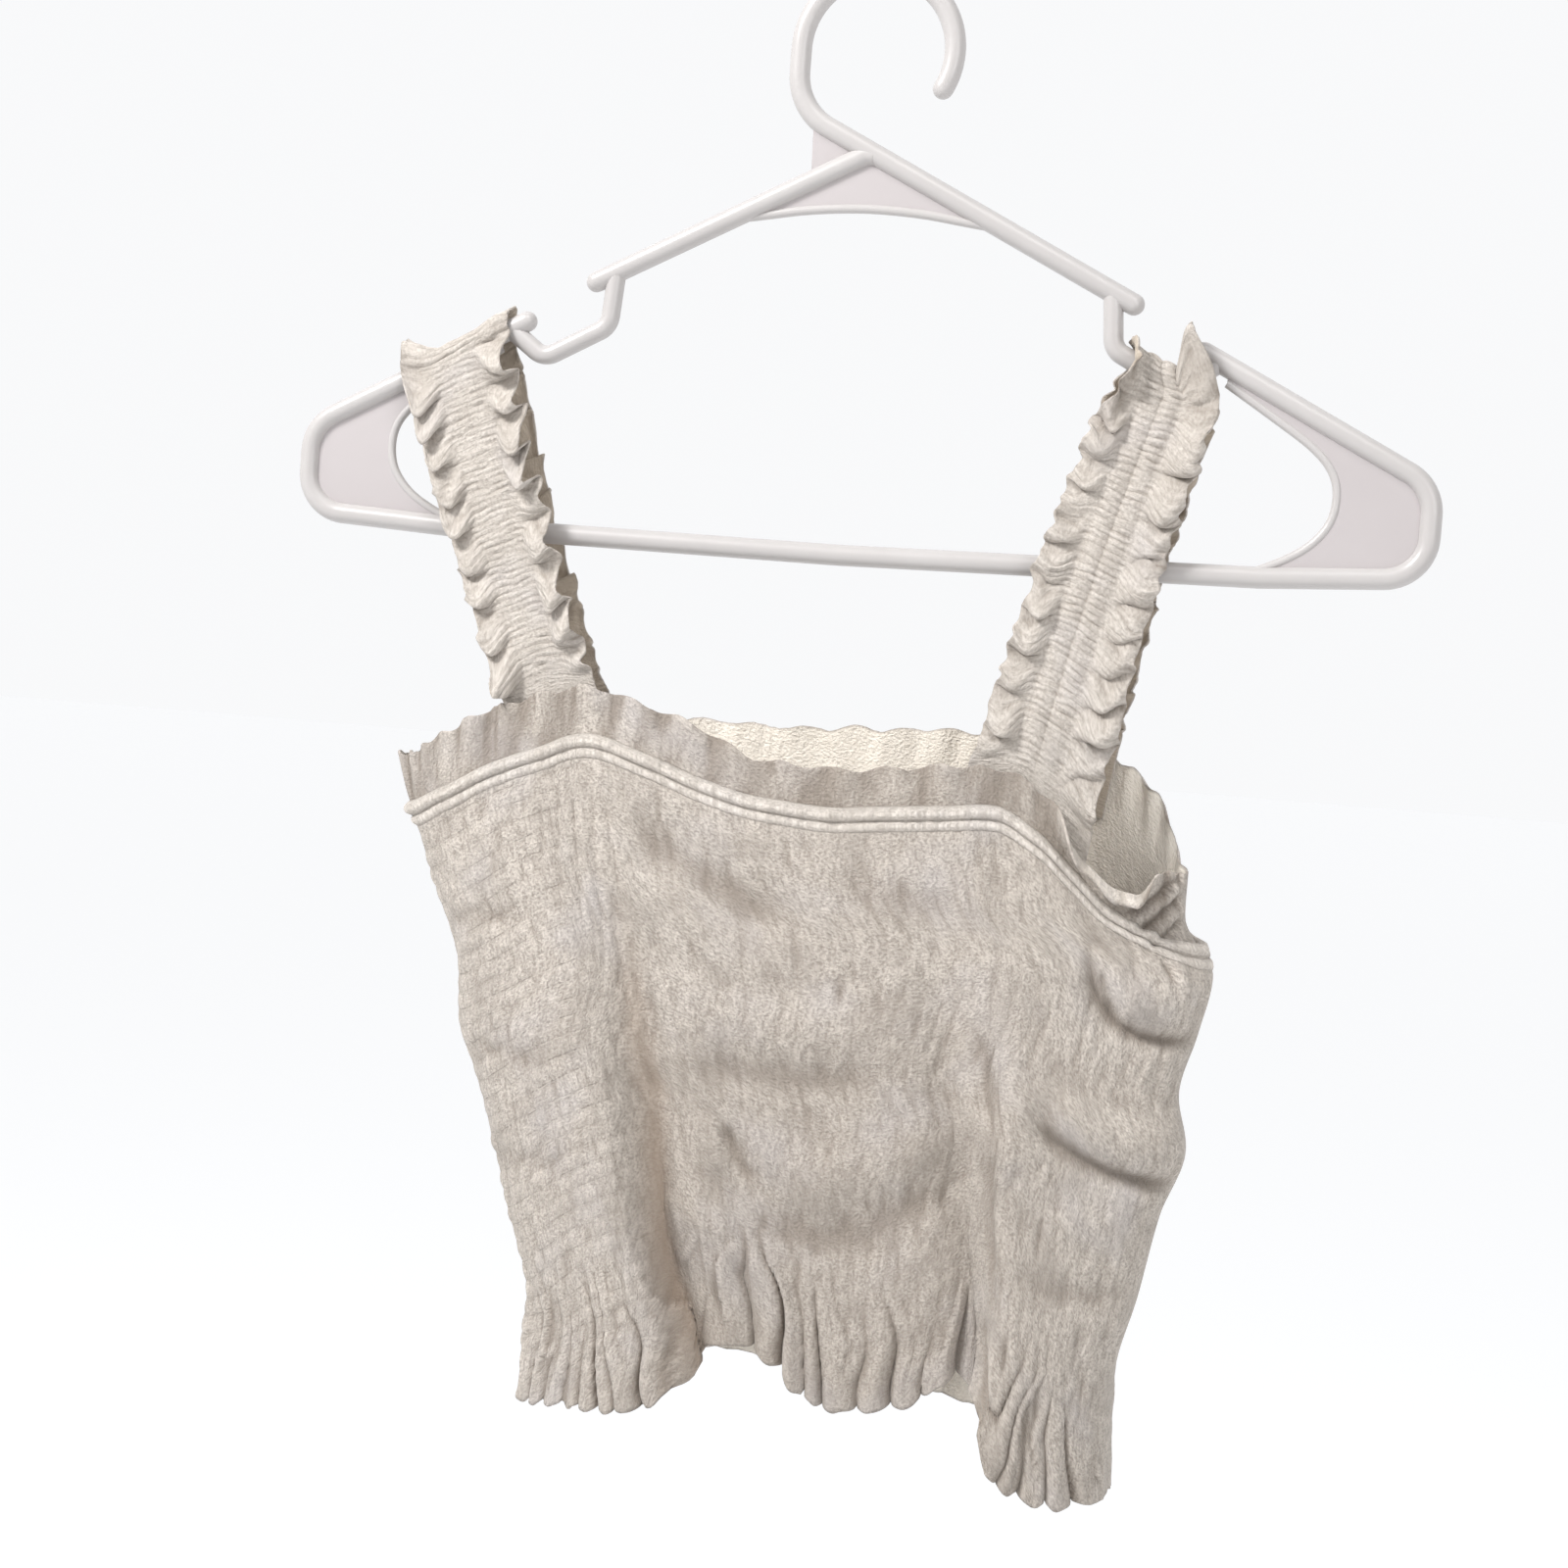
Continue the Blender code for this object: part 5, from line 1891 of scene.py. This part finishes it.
@dataclass
class Hanger:
    """A tubular plastic hanger with notched shoulders, end webs and a small top web."""

    plastic: bpy.types.Material
    web: bpy.types.Material
    sides: int = 28
    half_span: float = 209.5
    hook_radius: float = 28.0
    hook_tip_deg: float = -28.0
    hook_fillet: float = 22.0
    apex_z: float = -60.5
    arm_slope: float = 0.513
    arm_end_x: float = 98.5
    shoulder_top: Pair = (-124.0, -126.6)
    shoulder_slope: float = 0.52
    shoulder_fillet: float = 16.0
    bar_end: Pair = (-150.0, -203.8)
    bar_corner_z: float = -200.8
    bar_middle_z: float = -205.4
    bar_fillet: float = 15.0
    fillet_steps: int = 14
    arc_points: int = 60
    rim_points: int = 50
    outer_points: int = 40
    arc_radius: float = 1.5
    rim_radius: float = 1.6
    seam_height: float = 0.10
    web_half: float = 0.75
    notch: tuple[Triple, ...] = (
        (-91, -108, 0),
        (-92.5, -127, 7),
        (-116.5, -139.8, 7),
        (-129, -130.5, 0),
    )
    top_web_rim: tuple[Pair, ...] = (
        (-52, -86.6),
        (-38, -84.6),
        (-20, -82),
        (0, -80.9),
        (20, -82),
        (38, -84.6),
        (52, -86.6),
    )
    stem_web: tuple[Pair, ...] = ((-21.5, -47.0), (-20.8, -70.5), (-3.0, -61.5))
    end_arc: tuple[Pair, ...] = (
        (-133, -137),
        (-150, -148),
        (-164, -157.6),
        (-171.2, -165.5),
        (-173.6, -174),
        (-172, -183.5),
        (-166, -191.5),
        (-157, -197.5),
        (-144, -203.4),
    )
    end_outer: tuple[Pair, ...] = (
        (-190, -201.5),
        (-200.5, -196.5),
        (-205, -187),
        (-205, -176),
        (-199.5, -167.5),
        (-180, -157.5),
        (-150, -141),
        (-133, -132),
    )
    vertices: list[Triple] = field(default_factory=list)
    faces: list[tuple[int, ...]] = field(default_factory=list)
    web_faces: int = 0

    def tube(self, path: Array, radius: float, start: bool = False, end: bool = False) -> None:
        """Adds a round tube along a path.

        Args:
            path: its middle line, x and z.
            radius: its radius.
            start: whether its first end is rounded.
            end: whether its last end is rounded.
        """
        directions = np.gradient(path, axis=0)
        directions /= np.linalg.norm(directions, axis=1, keepdims=True)
        stations = [(point, way, 1.0) for point, way in zip(path, directions)]
        cap = [(math.sin(a), math.cos(a)) for a in np.radians((18.0, 36.0, 54.0, 70.0, 82.0))]
        if start:
            tip, way = path[0], directions[0]
            stations = [(tip - way * radius * far, way, size) for far, size in cap[::-1]] + stations
        if end:
            tip, way = path[-1], directions[-1]
            stations = stations + [(tip + way * radius * far, way, size) for far, size in cap]
        first = len(self.vertices)
        for point, way, size in stations:
            across = np.array((-way[1], way[0]))
            for side in range(self.sides):
                angle = 2.0 * math.pi * side / self.sides
                proud = self.seam_height if side in (0, self.sides // 2) else 0.0
                far = radius * size + proud * size
                inside = point + across * far * math.cos(angle)
                self.vertices.append((inside[0], far * math.sin(angle), inside[1]))
        self.faces.append(tuple(range(first, first + self.sides))[::-1])
        for station in range(len(stations) - 1):
            for side in range(self.sides):
                a = first + station * self.sides + side
                b = first + station * self.sides + (side + 1) % self.sides
                self.faces.append((a, a + self.sides, b + self.sides, b))
        last = first + (len(stations) - 1) * self.sides
        self.faces.append(tuple(range(last, last + self.sides)))

    def plate(self, outline: Sequence[Sequence[float]], half: float) -> None:
        """Adds a flat plate in the hanger's plane.

        Args:
            outline: x and z of its corners, in order.
            half: half of its thickness.
        """
        first = len(self.vertices)
        count = len(outline)
        self.vertices += [(x, -half, z) for x, z in outline] + [(x, half, z) for x, z in outline]
        self.faces.append(tuple(range(first, first + count)))
        self.faces.append(tuple(range(first + 2 * count - 1, first + count - 1, -1)))
        for here in range(count):
            after = (here + 1) % count
            self.faces.append((first + here, first + here + count, first + after + count, first + after))

    def shoulder_z(self, x: float) -> float:
        """Height of the shoulder tube's middle line at x."""
        return self.shoulder_top[1] - self.shoulder_slope * (abs(x) + self.shoulder_top[0])

    def frame_path(self) -> Array:
        """The outer arms, the rounded ends and the bar.

        Returns:
            The path from the left notch to the right one, x and z.
        """
        edge = self.half_span - TUBE
        left = [
            (*self.shoulder_top, 0.0),
            (-edge, self.shoulder_z(edge), self.shoulder_fillet),
            (-edge, self.bar_corner_z, self.bar_fillet),
            (*self.bar_end, 60.0),
        ]
        corners = left + [(0.0, self.bar_middle_z, 400.0)] + mirrored(left)[::-1]
        return rounded_path(corners, self.fillet_steps)

    def hook_path(self) -> Array:
        """The hook, its stem and the right arm.

        Returns:
            The path from the hook's tip over the top, down the stem and along the arm, x and z.
        """
        middle_z = TUBE - self.hook_radius
        angles = np.linspace(math.radians(self.hook_tip_deg), math.pi, 64)
        hook = np.stack([self.hook_radius * np.cos(angles), middle_z + self.hook_radius * np.sin(angles)], -1)
        corners = [
            (-self.hook_radius, middle_z, 0.0),
            (-self.hook_radius, self.apex_z + self.arm_slope * self.hook_radius, self.hook_fillet),
            (self.arm_end_x, self.apex_z - self.arm_slope * self.arm_end_x, 0.0),
        ]
        return np.concatenate([hook, rounded_path(corners, self.fillet_steps)[1:]])

    def build(self) -> Piece:
        """Makes the hanger.

        Returns:
            One object that stands for the hanger's node.
        """
        self.tube(self.hook_path(), TUBE, start=True, end=True)
        arm = [(1.5, self.apex_z - 1.4), (-2.0, self.apex_z - 1.6)]
        arm.append((-self.arm_end_x, self.apex_z - self.arm_slope * self.arm_end_x))
        self.tube(np.array(arm), TUBE - 0.04, end=True)
        self.tube(self.frame_path(), TUBE - 0.02, start=True, end=True)
        for side in (list, mirrored):
            self.tube(rounded_path(side(self.notch), self.fillet_steps), TUBE - 0.3)
            self.tube(smooth_line(side(self.end_arc), self.arc_points), self.arc_radius)
        rim = smooth_line(self.top_web_rim, self.rim_points)
        self.tube(rim, self.rim_radius)
        self.web_faces = len(self.faces)
        self.plate([(0.0, self.apex_z - 0.5)] + rim.tolist(), self.web_half)
        self.plate(self.stem_web, self.web_half)
        for side in (list, mirrored):
            arc = smooth_line(side(self.end_arc), self.arc_points).tolist()
            outer = smooth_line(side(self.end_outer), self.outer_points).tolist()
            self.plate(arc + outer, self.web_half + 0.1)
        made = mesh_from("moulded_hanger", np.array(self.vertices), self.faces, 42.0)
        made.data.materials.append(self.plastic)
        made.data.materials.append(self.web)
        for face in made.data.polygons[self.web_faces :]:
            face.material_index = 1
        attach(made, BODY_NAME)
        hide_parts("hanger")
        return made


@dataclass
class Studio:
    """A pale floor, soft light and the camera at the photo's angle. Lights are in metres and watts."""

    target: Triple = (-14.0, 0.0, -289.5)
    distance: float = 904.0
    turn_deg: float = 11.8
    roll_deg: float = 4.34
    down_deg: float = 2.18
    focal_px: float = 2535.0
    frame_px: float = 1600.0
    sensor_mm: float = 36.0
    floor_z: float = -1.15
    floor_half: float = 30.0
    floor_colour: Colour = (0.5, 0.505, 0.51)
    floor_roughness: float = 0.9
    floor_glow: float = 0.63
    glow_colour: Colour = (0.985, 0.99, 1.0)
    glow_ends: Pair = (-0.6, 0.8)
    front_glow: float = 0.3
    back_glow: float = 0.96
    lights: tuple[tuple[str, Triple, float, float], ...] = (
        ("key", (-1.05, -1.0, 0.95), 0.5, 41.0),
        ("fill", (0.4, -1.1, 1.25), 0.8, 9.0),
        ("side", (1.15, -1.25, 0.25), 0.7, 7.0),
    )

    def camera(self) -> Piece:
        """Makes the camera from the angles that fit the photo.

        Returns:
            The camera's object.
        """
        turn, down, roll = (math.radians(v) for v in (self.turn_deg, self.down_deg, self.roll_deg))
        forward = Vector(
            (-math.sin(turn) * math.cos(down), math.cos(turn) * math.cos(down), -math.sin(down))
        )
        level = Vector((math.cos(turn), math.sin(turn), 0.0))
        upright = level.cross(forward)
        right = level * math.cos(roll) + upright * math.sin(roll)
        up = upright * math.cos(roll) - level * math.sin(roll)
        data = bpy.data.cameras.new("camera")
        data.sensor_fit = "HORIZONTAL"
        data.sensor_width = self.sensor_mm
        data.lens = self.sensor_mm * self.focal_px / self.frame_px
        data.clip_start, data.clip_end = 0.01, 200.0
        made = bpy.data.objects.new("camera", data)
        place = (Vector(self.target) - forward * self.distance) * MM
        axes = Matrix((right, up, -forward)).transposed().to_4x4()
        made.matrix_world = Matrix.Translation(place) @ axes
        bpy.context.scene.collection.objects.link(made)
        bpy.context.scene.camera = made
        return made

    def light(self, name: str, place: Triple, size: float, power: float) -> Piece:
        """Adds a soft square light that faces the top.

        Args:
            name: its name.
            place: where it stands, in metres.
            size: the side of the square, in metres.
            power: its power, in watts.

        Returns:
            The light's object.
        """
        data = bpy.data.lights.new(name, "AREA")
        data.shape = "SQUARE"
        data.size = size
        data.energy = power
        made = bpy.data.objects.new(name, data)
        made.location = place
        aim = Vector(self.target) * MM - Vector(place)
        made.rotation_euler = aim.to_track_quat("-Z", "Y").to_euler()
        bpy.context.scene.collection.objects.link(made)
        return made

    def world(self) -> None:
        """A pale world, brightest behind the top."""
        world = bpy.data.worlds.new("pale_world")
        world.use_nodes = True
        tree = world.node_tree
        backing = tree.nodes["Background"]
        place = tree.nodes.new("ShaderNodeTexCoord")
        parts = tree.nodes.new("ShaderNodeSeparateXYZ")
        spread = tree.nodes.new("ShaderNodeMapRange")
        spread.interpolation_type = "SMOOTHSTEP"
        for end, far, glow in zip(("Min", "Max"), self.glow_ends, (self.front_glow, self.back_glow)):
            spread.inputs[f"From {end}"].default_value = far
            spread.inputs[f"To {end}"].default_value = glow
        tree.links.new(place.outputs["Generated"], parts.inputs[0])
        tree.links.new(parts.outputs[1], spread.inputs["Value"])
        tree.links.new(spread.outputs["Result"], backing.inputs["Strength"])
        backing.inputs["Color"].default_value = (*self.glow_colour, 1.0)
        bpy.context.scene.world = world
        bpy.context.scene.view_settings.view_transform = "Standard"

    def floor(self) -> Piece:
        """Makes the floor, far below the hem.

        Returns:
            The floor's object.
        """
        half = self.floor_half / MM
        z = self.floor_z / MM
        corners = np.array([(-half, -half, z), (half, -half, z), (half, half, z), (-half, half, z)])
        made = mesh_from("floor", corners, [(0, 1, 2, 3)], 30.0)
        bench = NodeBench("pale_floor")
        finish = {
            "Base Color": (*self.floor_colour, 1.0),
            "Roughness": self.floor_roughness,
            "Emission Color": (*self.glow_colour, 1.0),
            "Emission Strength": self.floor_glow,
        }
        bench.feed_all(bench.shader, finish)
        made.data.materials.append(bench.material)
        return made

    def build(self) -> None:
        """Sets up everything round the object."""
        self.world()
        self.floor()
        self.camera()
        for light in self.lights:
            self.light(*light)


LEFT_CREST = (
    CrestRow(-1, -170, -139.5),
    CrestRow(-0.72, -164.4, -140.3),
    CrestRow(-0.42, -158.4, -138.8),
    CrestRow(0, -150, -134.4),
    CrestRow(0.42, -141.6, -130.1),
    CrestRow(0.72, -135.6, -127),
    CrestRow(1, -130, -124.3),
)
RIGHT_CREST = (
    CrestRow(-1, 98.2, -123.2),
    CrestRow(-0.72, 100.2, -125.1),
    CrestRow(-0.42, 103.2, -126.8),
    CrestRow(0, 110, -130.2),
    CrestRow(0.42, 115.8, -131.6),
    CrestRow(0.72, 117.3, -131.4),
    CrestRow(1, 118.5, -130.8),
)


# The frill at each strap's left edge and right edge, with its flaps where the photo shows them.
LEFT_FRILLS = (
    FrillEdge(
        (1, -15, -25, -37, -49, -61, -75, -88, -101, -114, -128, -143),
        forward=4.6, drop=8.0, inward=1.5, horn=3.4, horn_lean=1.5, seed=3,
    ),
    FrillEdge(
        (0, -13, -27, -41, -53, -65, -79, -97, -111, -124, -134, -146),
        forward=4.8, drop=7.0, inward=1.0, peak=0.75, sharpness=0.8, horn=2.6, horn_lean=0.2,
        seed=5,
    ),
)
RIGHT_FRILLS = (
    FrillEdge(
        (-4, -14, -24, -34, -45, -56, -67, -77, -90, -103, -117, -134),
        forward=3.0, drop=4.2, inward=0.6, sharpness=0.55, keep=1.12, horn=1.0,
        horn_lean=-1.5, rolled=0.9, ragged=2.0, seed=7,
    ),
    FrillEdge(
        (1, -28, -48, -62, -78, -92, -104, -116, -128, -142),
        forward=3.9, drop=4.6, inward=0.4, peak=0.62, sharpness=0.4, keep=1.2, horn=2.0,
        horn_lean=2.0, leaf=(0.0, -4.0, 16.0), spacing=15.5, seed=9,
    ),
)


def clear_startup() -> None:
    """Removes the objects that Blender starts with."""
    for name in ("Cube", "Light", "Camera"):
        found = bpy.data.objects.get(name)
        if found is not None:
            bpy.data.objects.remove(found, do_unlink=True)


def report(piece: Piece) -> None:
    """Logs a piece's name and its number of faces."""
    logging.info("%s: %d faces", piece.name, len(piece.data.polygons))


def main() -> None:
    """Builds the top, the hanger and the studio."""
    clear_startup()
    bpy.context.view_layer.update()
    cloth = ClothFinish("crinkled_cotton").build()
    shirred = ClothFinish(
        "shirred_cotton",
        lay=CrinkleLay.ACROSS,
        lit=(0.61, 0.56, 0.51),
        shade_and_mottle=(0.42, 0.377, 0.335),
        inner=(0.50, 0.42, 0.33),
        # Painted shade on the straps' inner side and the undersides of their curled frills.
        streak_width=1.1,
        streak_length=6.0,
        crepe_depth=0.45,
        wander=0.6,
    ).build()
    banded = ClothFinish(
        "casing_cotton",
        lit=(0.74, 0.68, 0.62),
        shade_and_mottle=(0.5, 0.45, 0.4),
        streak_length=3.0,
    ).build()
    plastic = PlasticFinish("satin_plastic").build()
    web = PlasticFinish(
        "web_plastic",
        colour=(0.47, 0.435, 0.435),
        shaded=(0.43, 0.395, 0.395),
        roughness=0.42,
    ).build()
    for name, front in (("front", True), ("back", False)):
        panel = Panel(f"{name}_panel", front, cloth)
        piece = panel.build()
        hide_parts(name)
        report(piece)
        band = Casing(f"casing_{name}_band", panel, banded).build()
        report(band)
    left = (-150.0, -91.5, -93.0, 20.0, 17.5, -2.5, LEFT_CREST, 0.25, 101, *LEFT_FRILLS)
    right = (114.0, 74.0, 78.0, 19.5, 23.0, -3.0, RIGHT_CREST, 0.8, 151, *RIGHT_FRILLS)
    for strap in (Strap("left_strap", shirred, *left), Strap("right_strap", shirred, *right)):
        piece = strap.build()
        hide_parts("strap_left" if strap.name == "left_strap" else "strap_right")
        report(piece)
    report(Hanger(plastic, web).build())
    Studio().build()


if __name__ == "__main__":
    logging.basicConfig(level=logging.INFO, format="%(message)s")
    main()
